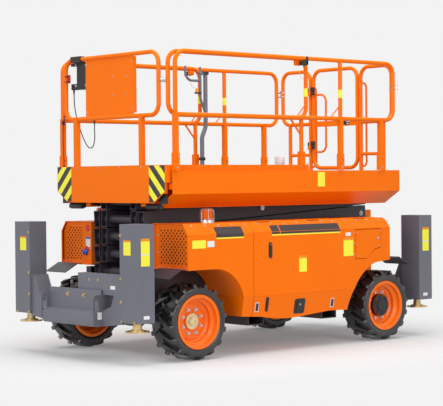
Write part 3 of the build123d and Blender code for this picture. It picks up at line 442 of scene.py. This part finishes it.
# ---------------------------------------------------------------- wheels
# radius and offset from the tyre's middle plane, outer half of the section
CARCASS = [(0.214, 0.112), (0.222, 0.124), (0.236, 0.134), (0.245, 0.1395), (0.249, 0.1395), (0.254, 0.141),
           (0.268, 0.1445), (0.281, 0.1425), (0.289, 0.134), (0.292, 0.12), (0.293, 0.08), (0.294, 0.0)]
TYRE_STEPS = 96
# one bar of the tread: offset from the middle plane, shift along the tread, width, top radius
BAR = [(-0.016, -0.050, 0.028, 0.3195), (0.004, -0.038, 0.031, 0.3225), (0.040, -0.010, 0.033, 0.3225),
       (0.078, 0.016, 0.035, 0.322), (0.110, 0.032, 0.037, 0.3205), (0.131, 0.040, 0.039, 0.315),
       (0.1405, 0.042, 0.037, 0.296), (0.1425, 0.042, 0.030, 0.272)]
BARS, BAR_RADIUS, BAR_ROOT = 16, 0.322, 0.288       # bars on each half, pitch radius, foot radius
BAR_SIDE, BAR_EDGE, EDGE_DROP = 0.006, 0.004, 0.003    # spread of the foot, rounding of the top
DISC_FACE = 0.030         # face of the wheel disc, from the wheel's middle plane
# hub reach, nut circle, cap radius, cap bolts, their circle in cap radii, their face, finish
HUBS = {"front": (0.042, 0.105, 0.072, 3, 0.36, 0.016, HUB_METAL),
        "rear": (0.078, 0.127, 0.101, 6, 0.8, 0.006, PLASTIC)}
NUTS = 8
# washer, nut and stud: height over the disc, foot radius, corners, top radius
NUT_PARTS = ((0.006, 0.0165, 20, 0.0145), (0.022, 0.0125, 6, 0.0115), (0.030, 0.006, 12, 0.005))
# beads of the rim: radius, wire radius, distance from the wheel's middle plane
RIM_BEADS = ((0.2265, 0.0035, 0.1345), (0.196, 0.003, 0.079), (0.152, 0.004, 0.031))


def tyre(piece, x, side):
    """Carcass turned round the axle, with two rows of bars that meet at the middle."""
    section = CARCASS + [(r, -y) for r, y in CARCASS[-2::-1]]
    piece.loft([[(x + r * math.sin(turn), side * WHEEL_Y + y, TYRE_RADIUS + r * math.cos(turn))
                 for r, y in section] for turn in turns(TYRE_STEPS)], closed=True)
    for hand in (1, -1):
        for spin in turns(BARS, 0.5 if hand < 0 else 0.0):
            rings = []
            for y, shift, width, top in BAR:
                low, shoulder, half = min(BAR_ROOT, top - 0.014), top - EDGE_DROP, width / 2
                ring = []
                for offset, radius in ((-half - BAR_SIDE, low), (-half, shoulder), (-half + BAR_EDGE, top),
                                       (half - BAR_EDGE, top), (half, shoulder), (half + BAR_SIDE, low)):
                    turn = spin + (shift + offset) / BAR_RADIUS
                    ring.append((x + radius * math.sin(turn), side * (WHEEL_Y + hand * y),
                                 TYRE_RADIUS + radius * math.cos(turn)))
                rings.append(ring)
            piece.loft(rings)


def round_axle(x, y, radius, turn):
    """A point round the axle of a wheel."""
    return x + radius * math.sin(turn), y, TYRE_RADIUS + radius * math.cos(turn)


for end, end_name in ENDS:
    for side, side_name in SIDES:
        body = f"wheel_{end_name}_{side_name}"
        x = end * AXLE_X
        tread_piece = Piece(f"tread_{end_name}_{side_name}", body, RUBBER)
        tyre(tread_piece, x, side)
        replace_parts(tread_piece.done(smooth=True, slot="tyre"), f"tyre_{end_name}_{side_name}")
        reach, nut_ring, wide, cap_bolts, bolt_ring, bolt_face, finish = HUBS[end_name]
        face, hub = side * (WHEEL_Y + DISC_FACE), side * (WHEEL_Y + reach)
        nuts = Piece(f"wheel_nuts_{end_name}_{side_name}", body, CHROME)
        for turn in turns(NUTS, 0.5):
            for height, *shape in NUT_PARTS:
                nuts.rod(round_axle(x, face, nut_ring, turn),
                         round_axle(x, face + side * height, nut_ring, turn), *shape)
        valve_foot = (x + 0.165, face - side * 0.004, TYRE_RADIUS)
        nuts.rod(valve_foot, (x + 0.158, face + side * 0.032, TYRE_RADIUS), 0.005, 12, 0.004)
        nuts.done(smooth=True)
        cap = Piece(f"hub_cap_{end_name}_{side_name}", body, finish)
        cap.rod((x, hub - side * 0.04, TYRE_RADIUS), (x, hub - side * 0.002, TYRE_RADIUS), wide + 0.0022, 48)
        cap.rod((x, hub - side * 0.003, TYRE_RADIUS), (x, hub + side * 0.006, TYRE_RADIUS), wide, 48,
                wide - 0.006)
        cap.rod((x, hub, TYRE_RADIUS), (x, hub + side * 0.016, TYRE_RADIUS), wide * 0.62, 40, wide * 0.54)
        for turn in turns(cap_bolts, 0.25):
            cap.bolt(round_axle(x, hub + side * bolt_face, wide * bolt_ring, turn), (0, side, 0),
                     0.007, 0.006)
        cap.done(smooth=True)
        band = Piece(f"rim_beads_{end_name}_{side_name}", body, RIM_ORANGE)
        for radius, wire, bead_reach in RIM_BEADS:
            band.tube([round_axle(x, side * (WHEEL_Y + bead_reach), radius, turn) for turn in turns(64)],
                      wire, 8, closed=True)
        band.done(smooth=True, slot="rim_paint")


# ---------------------------------------------------------------- module sides
SKIN_Y = 0.900
BEVEL_Z, BEVEL_RUN, BEVEL_RISE = 1.055, 0.065, 0.092    # above this the skin leans in to the top
SILL_Z, SILL_RUN, SILL_DROP = 0.51, 0.04, 0.22          # below this it leans in to the sill
TOP_BOLTS_Z = 1.128
MODULE_FACE_X = 1.257     # front face of the module's frame round its grille
FORK_MARKS = ((0.494, 0.409), (-0.43, 0.394))           # x and z of the plates over the fork pockets
# piece, body, finish, patches as x0, x1, z0, z1, and half sizes and lift of its fork marks
FILMS = (("cover_banners", "cover", DARK_FILM,
          [(-0.523, 0.218, 1.035, 1.111), (0.230, 0.326, 1.035, 1.111)], (0.016, 0.034, 0.0018)),
         ("front_banner", "chassis", DARK_FILM, [(0.657, 0.967, 1.026, 1.113)], None),
         ("cover_yellow", "cover", YELLOW,
          [(-0.523, 0.326, 1.022, 1.0335), (-0.095, -0.001, 0.692, 0.812), (-0.69, -0.563, 0.807, 0.952)],
          None),
         ("cover_heads", "cover", SIGN_ORANGE,
          [(-0.095, -0.001, 0.813, 0.837), (-0.69, -0.563, 0.953, 0.977)], None),
         ("front_yellow", "chassis", YELLOW,
          [(0.657, 0.967, 1.013, 1.0245), (1.083, 1.234, 0.94, 1.008)], None),
         ("front_white", "chassis", WHITE, [(0.99, 1.067, 0.948, 0.999)], None),
         ("cover_white", "cover", WHITE, [(-0.659, -0.59, 0.991, 1.022)], (0.021, 0.04, 0.0012)))


def module_y(z):
    """Half width of the side module's skin at a height."""
    if z > BEVEL_Z:
        return SKIN_Y - (z - BEVEL_Z) * BEVEL_RUN / BEVEL_RISE
    return SKIN_Y if z > SILL_Z else SKIN_Y - (SILL_Z - z) * SILL_RUN / SILL_DROP


def skin_film(piece, x0, x1, z0, z1, side=1, lift=0.0012):
    """A thin film that follows the skin, folded over the bevel line."""
    rings = []
    for z in [z0] + [z for z in (SILL_Z, BEVEL_Z) if z0 < z < z1] + [z1]:
        inner, outer = side * (module_y(z) - 0.001), side * (module_y(z) + lift)
        rings.append([(x0, inner, z), (x0, outer, z), (x1, outer, z), (x1, inner, z)])
    piece.loft(rings)


def pill(x0, x1, z0, z1, radius=None):
    """Outline of a rectangle with rounded corners."""
    radius = radius or min(x1 - x0, z1 - z0) / 2
    outline = []
    for cx, cz, start in ((x1 - radius, z1 - radius, 0), (x0 + radius, z1 - radius, 90),
                          (x0 + radius, z0 + radius, 180), (x1 - radius, z0 + radius, 270)):
        outline += [(cx + radius * math.cos(math.radians(start + 15 * k)),
                     cz + radius * math.sin(math.radians(start + 15 * k))) for k in range(7)]
    return outline


def skin_pad(piece, outline, side, lift):
    """A low pad whose face lies parallel to the skin."""
    points = [(x, side * (module_y(z) - 0.003), z) for x, z in outline]
    points += [(x, side * (module_y(z) + lift), z) for x, z in outline]
    piece.faces(points, closed_wall(len(outline)))


for side, side_name in SIDES:
    cover = f"cover_{side_name}"
    for name, body, finish, patches, marks in FILMS:
        film = Piece(f"{name}_{side_name}", cover if body == "cover" else body, finish)
        for patch_box in patches:
            skin_film(film, *patch_box, side)
        if marks:
            half_x, half_z, lift = marks
            for x, z in FORK_MARKS:
                skin_film(film, x - half_x, x + half_x, z - half_z, z + half_z, side, lift)
        film.done()
    fittings = Piece(f"cover_fittings_{side_name}", cover, PLASTIC)
    for x0, x1, z0, z1 in ((0.325, 0.366, 0.826, 0.967), (0.362, 0.396, 0.362, 0.492)):
        skin_pad(fittings, pill(x0, x1, z0, z1), side, 0.0035)
        skin_pad(fittings, pill(x0 + 0.007, x1 - 0.007, z0 + 0.007, z1 - 0.007), side, 0.0055)
        skin_pad(fittings, pill(x0 + 0.013, x1 - 0.013, z0 + 0.03, z1 - 0.03), side, 0.009)
    skin_pad(fittings, pill(-0.084, 0.044, 0.322, 0.455, 0.02), side, 0.004)
    skin_pad(fittings, pill(-0.06, 0.02, 0.342, 0.437, 0.012), side, 0.0085)
    fittings.done(smooth=True)
    low_y = module_y(0.4)
    locks = Piece(f"cover_locks_{side_name}", cover, STEEL)
    for x, z, y, height, radius, corners in ((-0.02, 0.405, low_y, 0.0105, 0.009, 20),
                                             (0.379, 0.47, low_y, 0.006, 0.005, 14),
                                             (0.3455, 0.946, SKIN_Y, 0.006, 0.005, 14)):
        locks.rod((x, side * y, z), (x, side * (y + height), z), radius, corners)
    locks.done(smooth=True)
    bolts = Piece(f"cover_bolts_{side_name}", cover, STEEL)
    slope = Vector((0, side * BEVEL_RISE, BEVEL_RUN))
    for k in range(11):
        x = -1.08 + 0.152 * k
        bolts.bolt((x, side * module_y(TOP_BOLTS_Z), TOP_BOLTS_Z), slope, *SMALL_BOLT)
    bolts.done(smooth=True)
    bolts = Piece(f"module_bolts_{side_name}", "chassis", STEEL)
    for x in (0.6, 0.75, 0.9, 1.05, 1.2):
        bolts.bolt((x, side * module_y(TOP_BOLTS_Z), TOP_BOLTS_Z), slope, *SMALL_BOLT)
    for y, z in ((0.5, 0.775), (0.62, 0.775), (0.74, 0.775), (0.86, 0.775), (0.487, 0.9), (0.487, 1.05)):
        bolts.bolt((MODULE_FACE_X, side * y, z), (1, 0, 0), *SMALL_BOLT)
    bolts.done(smooth=True)
    trim = Piece(f"cover_seam_{side_name}", cover, ORANGE)
    for fold_z, lift, seam_x in ((BEVEL_Z, 0.0008, (-1.15, -0.6, 0.0, 0.5, 0.535)),
                                 (SILL_Z, 0.0006, (-0.66, -0.3, 0.1, 0.5, 0.535))):
        trim.tube([(x, side * (module_y(fold_z) + lift), fold_z) for x in seam_x], 0.0016, 8)
    trim.done(smooth=True, slot="orange_paint")

lock = Piece("door_lock", "access_door", STEEL)
lock.rod((-1.02, 0.899, 0.96), (-1.02, 0.904, 0.96), 0.012, 24, 0.011)
lock.box(-1.0215, -1.0185, 0.903, 0.9052, 0.952, 0.968)
for x, z in ((-0.745, 1.01), (-0.745, 0.802), (-0.745, 0.903), (-1.045, 1.03), (-1.045, 0.89)):
    lock.bolt((x, SKIN_Y, z), (0, 1, 0), *TINY_BOLT)
lock.done(smooth=True)
screws = Piece("door_frame_screws", "cover_left", STEEL)
for z in (0.819, 0.919, 1.019):
    screws.bolt((-0.704, 0.902, z), (0, 1, 0), *TINY_BOLT)
screws.done(smooth=True)

# ---------------------------------------------------------------- beacons
BEACON_X, BEACON_Y = 0.93, 0.74
CAGE_RADIUS, CAGE_RIM, CAGE_TOP_Z, CAGE_WIRE = 0.061, 0.03, 1.266, 0.0018


def round_beacon(y, radius, turn, z):
    """A point round the upright axis of a beacon."""
    return BEACON_X + radius * math.cos(turn), y + radius * math.sin(turn), z


for side, side_name in SIDES:
    y = side * BEACON_Y
    guard = Piece(f"beacon_guard_{side_name}", "chassis", STEEL)
    for radius, z in ((CAGE_RADIUS, 1.182), (CAGE_RADIUS, 1.248), (CAGE_RIM, CAGE_TOP_Z)):
        guard.tube([round_beacon(y, radius, turn, z) for turn in turns(40)], CAGE_WIRE, 8, closed=True)
    for turn in turns(6):
        guard.tube([round_beacon(y, radius, turn, z) for radius, z in
                    ((CAGE_RADIUS, 1.150), (CAGE_RADIUS, 1.25), (0.05, 1.263), (CAGE_RIM, CAGE_TOP_Z))],
                   CAGE_WIRE, 8)
    guard.rod((BEACON_X, y, 1.146), (BEACON_X, y, 1.172), 0.0585, 48, 0.056)
    guard.done(smooth=True)
    lens = Piece(f"beacon_lens_{side_name}", "chassis", AMBER)
    lens.rod((BEACON_X, y, 1.17), (BEACON_X, y, 1.255), 0.0475, 48, 0.046)
    lens.rod((BEACON_X, y, 1.255), (BEACON_X, y, 1.262), 0.046, 48, 0.034)
    for turn in turns(24):
        lens.rod(round_beacon(y, 0.047, turn, 1.174), round_beacon(y, 0.0455, turn, 1.252), 0.002, 8)
    lens.done(smooth=True, slot="amber")

# ---------------------------------------------------------------- module fronts
GRILLE_WINDOW = [(0.49, 0.79), (0.87, 0.79), (0.87, 1.052), (0.812, 1.124), (0.49, 1.124)]
INLET_FACE_X = 1.2572     # face of the panel beside the far grille
for side, side_name in SIDES:
    screen = Piece(f"grille_screen_{side_name}", "chassis", SCREEN)
    screen.prism([(side * y, z) for y, z in GRILLE_WINDOW], "x", 1.2465, 1.2478)
    screen.done()

panel = Piece("inlet_panel", "chassis", ORANGE)
panel.prism(rectangle(-0.6, -0.488, 0.792, 1.124), "x", 1.2522, INLET_FACE_X)
panel.done(slot="orange_paint")
recess = Piece("inlet_recess", "chassis", RED)
recess.rod((1.2565, -0.524, 1.088), (1.2602, -0.524, 1.088), 0.034, 40, 0.031)
recess.rod((1.2565, -0.544, 0.893), (1.2612, -0.544, 0.893), 0.036, 40, 0.033)
recess.done(smooth=True)
inlet = Piece("inlet_socket", "chassis", BLUE)
inlet.rod((1.255, -0.546, 0.878), (1.276, -0.55, 0.868), 0.029, 32, 0.026)
inlet.rod((1.27, -0.549, 0.871), (1.2775, -0.552, 0.866), 0.03, 32)
inlet.box(1.26, 1.276, -0.588, -0.57, 0.85, 0.884, 0.004)
inlet.prism(rectangle(-0.552, -0.486, 0.99, 1.008), "x", INLET_FACE_X, 1.2585)
inlet.done(smooth=True)
label = Piece("inlet_label", "chassis", WHITE)
label.prism(rectangle(-0.552, -0.486, 0.918, 0.99), "x", INLET_FACE_X, 1.2584)
label.done()
strip = Piece("edge_trims", "chassis", PLASTIC)
strip.tube([(1.262, y, z) for y, z in ((-0.846, 1.132), (-0.866, 1.1), (-0.892, 1.058), (-0.896, 0.93),
                                       (-0.893, 0.8))], 0.0055, 10)
strip.done(smooth=True)

# ---------------------------------------------------------------- roll-out deck's front
PLATE_X = 1.41            # face of the roll-out deck's front plate
PANEL_X = 1.384           # face of the sheet panel on its front rail
HAZARD_Y, HAZARD_Z, BAND = 0.555, 1.326, 0.075          # corner and band width of the striped fields


def clipped(outline, inside):
    """The part of a polygon where inside(point) is at least zero."""
    kept = []
    for a, b in zip(outline, outline[1:] + outline[:1]):
        fa, fb = inside(a), inside(b)
        if fa >= 0:
            kept.append(a)
        if fa * fb < 0:
            share = fa / (fa - fb)
            kept.append((a[0] + (b[0] - a[0]) * share, a[1] + (b[1] - a[1]) * share))
    return kept


dark, yellow = Piece("hazard_dark", "extension", DARK_FILM), Piece("hazard_yellow", "extension", YELLOW)
for side, _ in SIDES:
    field = [(HAZARD_Y, HAZARD_Z), (0.612, HAZARD_Z), (0.764, 1.421), (0.764, 1.636), (HAZARD_Y, 1.636)]
    for k in range(-2, 10):
        low, high = BAND * k, BAND * (k + 1)
        band = clipped(field, lambda p: (p[0] - HAZARD_Y) + (p[1] - HAZARD_Z) - low)
        band = clipped(band, lambda p: high - (p[0] - HAZARD_Y) - (p[1] - HAZARD_Z)) if len(band) > 2 else []
        if len(band) > 2:
            stripe = yellow if k % 2 else dark
            stripe.prism([(side * y, z) for y, z in band], "x", PLATE_X - 0.001, PLATE_X + 0.0012)
dark.done()
yellow.done()
folds = Piece("panel_folds", "extension", ORANGE)
for y in (-0.357, 0.3225):
    folds.box(1.352, 1.3835, y - 0.002, y + 0.002, 2.09, 2.57, 0.0008)
folds.done(slot="orange_paint")
fixings = Piece("panel_bolts", "extension", STEEL)
for y in (0.045, 0.235):
    for z in (2.256, 2.408):
        fixings.bolt((PANEL_X, y, z), (1, 0, 0), *SMALL_BOLT)
for y, z in ((-0.34, 2.12), (-0.34, 2.53), (0.305, 2.12), (0.305, 2.53)):
    fixings.bolt((PANEL_X, y, z), (1, 0, 0), *TINY_BOLT)
for side, _ in SIDES:
    for y in (0.15, 0.45, 0.7):
        fixings.bolt((PLATE_X, side * y, 1.625), (1, 0, 0), *SMALL_BOLT)
fixings.done(smooth=True)

# ---------------------------------------------------------------- control console and push handle
console = Piece("console_parts", "extension", DARK_PLASTIC)
console.rod((1.252, -0.45, 2.47), (1.196, -0.45, 2.486), 0.014, 20, 0.010)
console.rod((1.2, -0.45, 2.484), (1.168, -0.45, 2.494), 0.017, 20, 0.014)
console.box(1.232, 1.246, -0.53, -0.385, 2.452, 2.496, 0.003)
for y in (-0.525, -0.505, -0.405):
    console.rod((1.262, y, 2.528), (1.236, y, 2.55), 0.008, 14)
console.done(smooth=True)
stop = Piece("console_stop", "extension", RED)
stop.rod((1.262, -0.5, 2.38), (1.226, -0.5, 2.384), 0.012, 20)
stop.rod((1.23, -0.5, 2.3836), (1.218, -0.5, 2.385), 0.021, 28, 0.019)
stop.box(1.362, 1.38, -0.637, -0.615, 2.388, 2.463, 0.004)
stop.done(smooth=True)
strap = Piece("console_strap", "extension", PLASTIC)
for z in (2.402, 2.448):
    strap.rod((1.383, -0.644, z - 0.005), (1.383, -0.644, z + 0.005), 0.0215, 28)
strap.done(smooth=True)
screws = Piece("console_screws", "extension", STEEL)
for y, z in ((-0.552, 2.362), (-0.402, 2.362), (-0.402, 2.54), (-0.552, 2.55)):
    screws.bolt((1.35, y, z), (1, 0, 0), 0.009, 0.006)
screws.done(smooth=True)

knob = Piece("handle_knob", "extension", SIGN_ORANGE)
knob.rod((-0.146, -0.64, 2.357), (-0.146, -0.64, 2.394), 0.017, 24, 0.015)
knob.done(smooth=True)
clamps = Piece("handle_clamps", "extension", PLASTIC)
clamps.box(-0.192, -0.122, -0.654, -0.626, 2.342, 2.358, 0.003)
clamps.box(-0.278, -0.226, -0.664, -0.616, 2.528, 2.56, 0.005)
clamps.box(-0.228, -0.180, -0.664, -0.616, 1.70, 1.73, 0.005)
clamps.done(smooth=True)

# ---------------------------------------------------------------- guard rails and gate
RAIL_Y, LOOP_Y = 0.8, 0.735              # main rails, and loops of the roll-out deck
POSTS_X = (1.32, -0.637, -1.17)          # upright posts of the main rails
TAG_RADIUS = 0.0198                      # just over the tube that a tag is wrapped round
SILL_Y = 0.727                           # catches on the toe boards
CORNER_X, CORNER_Y = -1.39, 0.7725       # upright pin that links the side and rear rails
HINGES_Z = (1.85, 2.39)
for side, side_name in SIDES:
    rail_y, loop_y, sill_y, corner_y = side * RAIL_Y, side * LOOP_Y, side * SILL_Y, side * CORNER_Y
    saddle = Piece(f"rail_saddle_{side_name}", "platform", PLASTIC)
    saddle.box(-0.212, -0.184, side * 0.777, side * 0.824, 2.535, 2.607, 0.004)
    saddle.box(-0.208, -0.138, side * 0.777, side * 0.824, 2.527, 2.564, 0.004)
    saddle.done(smooth=True)
    keeper = Piece(f"rail_keeper_{side_name}", "extension", ORANGE)
    keeper.box(-0.182, -0.122, side * 0.722, side * 0.748, 2.528, 2.572, 0.004)
    keeper.rod((-0.15, side * 0.716, 2.546), (-0.15, side * 0.755, 2.546), 0.007, 16)
    keeper.done(smooth=True, slot="orange_paint")
    wire = Piece(f"latch_wire_{side_name}", "extension", STEEL)
    wire.tube([(-0.15, side * 0.752, 2.53), (-0.158, side * 0.756, 2.47), (-0.18, side * 0.757, 2.42),
               (-0.21, side * 0.7565, 2.405), (-0.232, side * 0.755, 2.43)], 0.0016, 8)
    wire.done(smooth=True)
    tags = Piece(f"rail_tags_{side_name}", "platform", YELLOW)
    tags.rod((POSTS_X[1], rail_y, 2.25), (POSTS_X[1], rail_y, 2.323), TAG_RADIUS, 28)
    tags.prism(rectangle(-0.431, -0.341, 1.443, 1.573), "y", side * 0.7992, side * 0.8012)
    tags.done(smooth=True)
    tags = Piece(f"loop_tags_{side_name}", "extension", YELLOW)
    tags.rod((-0.26, loop_y, 2.252), (-0.26, loop_y, 2.326), TAG_RADIUS, 28)
    tags.done(smooth=True)
    stays = Piece(f"rail_stays_{side_name}", "platform", ORANGE)
    stays.rod((-0.51, rail_y, 2.068), (-0.628, rail_y, 2.178), 0.006, 12)
    stays.done(smooth=True, slot="orange_paint")
    stays = Piece(f"loop_stays_{side_name}", "extension", ORANGE)
    stays.rod((-0.145, loop_y, 2.07), (-0.25, loop_y, 2.178), 0.006, 12)
    stays.done(smooth=True, slot="orange_paint")
    pins = Piece(f"foot_pins_{side_name}", "platform", STEEL)
    for x in POSTS_X:
        pins.rod((x, side * 0.834, 1.706), (x, side * 0.841, 1.706), 0.006, 14)
        pins.bolt((x, side * 0.824, 1.62), (0, side, 0), *SMALL_BOLT)
    pins.done(smooth=True)
    link = Piece(f"corner_link_{side_name}", "platform", STEEL)
    for z in (2.352, 2.392):
        strap_outline = [(x, side * y) for x, y in pill(-1.412, -1.368, 0.723, 0.822, 0.02)]
        link.prism(strap_outline, "z", z - 0.005, z + 0.005)
    link.rod((CORNER_X, corner_y, 2.34), (CORNER_X, corner_y, 2.404), 0.008, 18)
    link.rod((CORNER_X, corner_y, 2.398), (CORNER_X, corner_y, 2.41), 0.013, 6)
    link.done(smooth=True)
    catch = Piece(f"sill_catch_{side_name}", "extension", PLASTIC)
    catch.box(-0.29, -0.225, side * 0.712, side * 0.742, 1.592, 1.618, 0.004)
    catch.rod((-0.262, sill_y, 1.614), (-0.262, sill_y, 1.632), 0.009, 16)
    catch.done(smooth=True)
    key = Piece(f"sill_key_{side_name}", "extension", STEEL)
    key.rod((-0.285, sill_y, 1.61), (-0.285, sill_y, 1.645), 0.004, 10)
    for x in (-0.3, -0.27):
        key.rod((-0.285, sill_y, 1.642), (x, sill_y, 1.66), 0.0035, 10)
    key.done(smooth=True)

coupling = Piece("front_coupling", "extension", STEEL)
coupling.rod((1.381, 0.68, 2.35), (1.337, 0.724, 2.35), 0.009, 16)
for share in (0.3, 0.62):
    x, y = 1.381 - 0.044 * share, 0.68 + 0.044 * share
    coupling.rod((x + 0.005, y - 0.005, 2.35), (x - 0.005, y + 0.005, 2.35), 0.023, 8)
coupling.done(smooth=True)
for z in HINGES_Z:
    leaf = Piece(f"hinge_fixed_{round(z * 1000)}", "platform", PLASTIC)
    leaf.box(-1.378, -1.362, -0.366, -0.327, z - 0.046, z - 0.014, 0.004)
    leaf.box(-1.378, -1.362, -0.366, -0.34, z - 0.01, z + 0.03, 0.004)
    leaf.done(smooth=True)
    leaf = Piece(f"hinge_gate_{round(z * 1000)}", "gate", PLASTIC)
    leaf.box(-1.372, -1.352, -0.319, -0.262, z - 0.008, z + 0.038, 0.005)
    leaf.box(-1.372, -1.352, -0.305, -0.262, z - 0.04, z - 0.012, 0.005)
    leaf.done(smooth=True)
latch = Piece("gate_latch", "gate", PLASTIC)
latch.box(-1.386, -1.366, 0.13, 0.168, 2.044, 2.078, 0.004)
latch.rod((-1.375, 0.195, 2.062), (-1.365, 0.195, 2.062), 0.008, 16)
latch.done(smooth=True)
pull = Piece("gate_pull", "gate", WHITE)
pull.box(-1.386, -1.372, 0.17, 0.196, 2.046, 2.074, 0.003)
pull.done(smooth=True)
socket = Piece("deck_socket", "platform", WHITE)
socket.box(-1.368, -1.292, -0.772, -0.7, 1.655, 1.745, 0.006)
socket.box(-1.35, -1.31, -0.705, -0.694, 1.672, 1.728, 0.004)
socket.done(smooth=True)
bracket = Piece("socket_bracket", "platform", STEEL)
bracket.box(-1.36, -1.3, -0.782, -0.77, 1.6, 1.74, 0.002)
bracket.done(smooth=True)

# back, front, two ends and floor of an open pocket
POCKET_WALLS = ((1.306, 1.31, 0.04, 0.262, 2.112, 2.441), (1.3755, 1.3795, 0.04, 0.262, 2.112, 2.441),
                (1.307, 1.377, 0.04, 0.0445, 2.112, 2.43), (1.307, 1.377, 0.2575, 0.262, 2.112, 2.43),
                (1.307, 1.377, 0.041, 0.261, 2.112, 2.1165))
pocket = Piece("document_pocket", "extension", DARK_PLASTIC)
for wall in POCKET_WALLS:
    pocket.box(*wall, 0.0015)
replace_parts(pocket.done(smooth=True, slot="dark_plastic"), "document_box")

# ---------------------------------------------------------------- outriggers and end beams
HOUSING_X, HOUSING_Y = 1.80, 0.878       # end and outer faces of the housings
BEAM_X, BEAM_COVER_X, LUG_Y = 1.784, 1.764, 0.381
FRONT_SIGN = (0.703, 0.797)              # y from and to, on a housing's end face
SIDE_SIGN = (1.668, 1.758)               # x from and to, on its outer face
gold = Piece("outrigger_bolts", "chassis", ZINC)
yellow = Piece("outrigger_yellow", "chassis", YELLOW)
heads = Piece("outrigger_heads", "chassis", SIGN_ORANGE)
white = Piece("outrigger_white", "chassis", WHITE)
edges = Piece("outrigger_edges", "chassis", GREY)


def patch(piece, axis, face, out, a0, a1, z0, z1):
    """A thin film on a flat face that looks along axis, outward in the direction out."""
    piece.prism(rectangle(a0, a1, z0, z1), axis, face - out * 0.001, face + out * 0.0012)


for end, _ in ENDS:
    for side, _ in SIDES:
        x, y = end * HOUSING_X, side * HOUSING_Y
        for at_y, z in ((0.664, 1.064), (0.664, 0.708), (0.664, 0.519), (0.672, 0.36), (0.842, 0.358)):
            gold.bolt((x, side * at_y, z), (end, 0, 0), *PLATE_BOLT)
        for piece, z0, z1 in ((yellow, 0.903, 1.012), (heads, 1.0125, 1.026)):
            patch(piece, "x", x, end, side * FRONT_SIGN[0], side * FRONT_SIGN[1], z0, z1)
        for piece, z0, z1 in ((yellow, 0.913, 1.018), (heads, 1.0185, 1.04), (yellow, 0.815, 0.904),
                              (white, 0.9045, 0.9125)):
            patch(piece, "y", y, side, end * SIDE_SIGN[0], end * SIDE_SIGN[1], z0, z1)
        patch(white, "y", y, side, end * 1.675, end * 1.735, 0.384, 0.412)
        patch(white, "y", side * LUG_Y, side, end * 1.786, end * 1.83, 0.358, 0.418)
        for corner in ((x - end * 0.0015, y - side * 0.0015), (x - end * 0.0015, side * 0.6655)):
            edges.rod((*corner, 0.352), (*corner, 1.118), 0.0024, 10)
    for y in (-0.09, 0.14):
        gold.bolt((end * BEAM_X, y, 0.55), (end, 0, 0), *LARGE_BOLT)
for y in (0.186, 0.306):
    gold.bolt((BEAM_COVER_X, y, 0.683), (1, 0, 0), *PLATE_BOLT)
patch(white, "x", BEAM_COVER_X, 1, 0.475, 0.54, 0.612, 0.642)
gold.done(smooth=True)
yellow.done()
heads.done()
white.done()
edges.done(smooth=True, slot="grey_paint")

# ---------------------------------------------------------------- arm stack
CENTRE_PIN_X, REAR_PIN_X = -0.062294, -1.37
STACK_Z, LEVEL_PITCH = 0.711, 0.155      # lowest rear pin, and the rise to the next one
for k in (1, 2, 3, 4):
    for lane, x, z, reach in (("inner", CENTRE_PIN_X, STACK_Z + LEVEL_PITCH * (k - 0.5), 0.360),
                              ("outer", REAR_PIN_X, STACK_Z + LEVEL_PITCH * k, 0.354)):
        pins = Piece(f"pin_ends_{lane}_{k}", f"{lane}_{k}", STEEL)
        for side, _ in SIDES:
            pins.rod((x, side * (reach - 0.004), z), (x, side * (reach + 0.004), z), 0.024, 24)
            pins.bolt((x, side * (reach + 0.004), z), (0, side, 0), 0.010, 0.006)
        pins.done(smooth=True)


# ---------------------------------------------------------------- deck tread
TREAD_PITCH, TREAD_HALF_Y = 0.07, 0.7
TREAD_LONG, TREAD_WIDE, TREAD_HIGH = 0.022, 0.005, 0.0016      # half length, half width, height of a bar
MAIN_FLOOR_Z, EXTENSION_FLOOR_Z = 1.49, 1.506


def tread(name, body, x0, x1, z):
    """Rows of raised bars, crossed in pairs, on a floor plate."""
    piece = Piece(name, body, DECK)
    for row in range(int((x1 - x0) / TREAD_PITCH) + 1):
        for column in range(int(2 * TREAD_HALF_Y / TREAD_PITCH) + 1):
            x, y = x0 + TREAD_PITCH * row, TREAD_PITCH * column - TREAD_HALF_Y
            way = 1 if (row + column) % 2 else -1
            along = Vector((0.6, 0.8 * way, 0)) * TREAD_LONG
            across = Vector((0.8, -0.6 * way, 0)) * TREAD_WIDE
            centre = Vector((x, y, z + 0.0002))
            top = centre + Vector((0, 0, TREAD_HIGH))
            piece.faces([centre - along, centre - across, centre + along, centre + across,
                         top - along * 0.5, top + along * 0.5],
                        [(0, 1, 4), (1, 2, 5, 4), (2, 3, 5), (3, 0, 4, 5), (3, 2, 1, 0)])
    piece.done(slot="deck_plate")


tread("deck_tread", "platform", -1.33, 1.3, MAIN_FLOOR_Z)
tread("extension_tread", "extension", -0.23, 1.32, EXTENSION_FLOOR_Z)
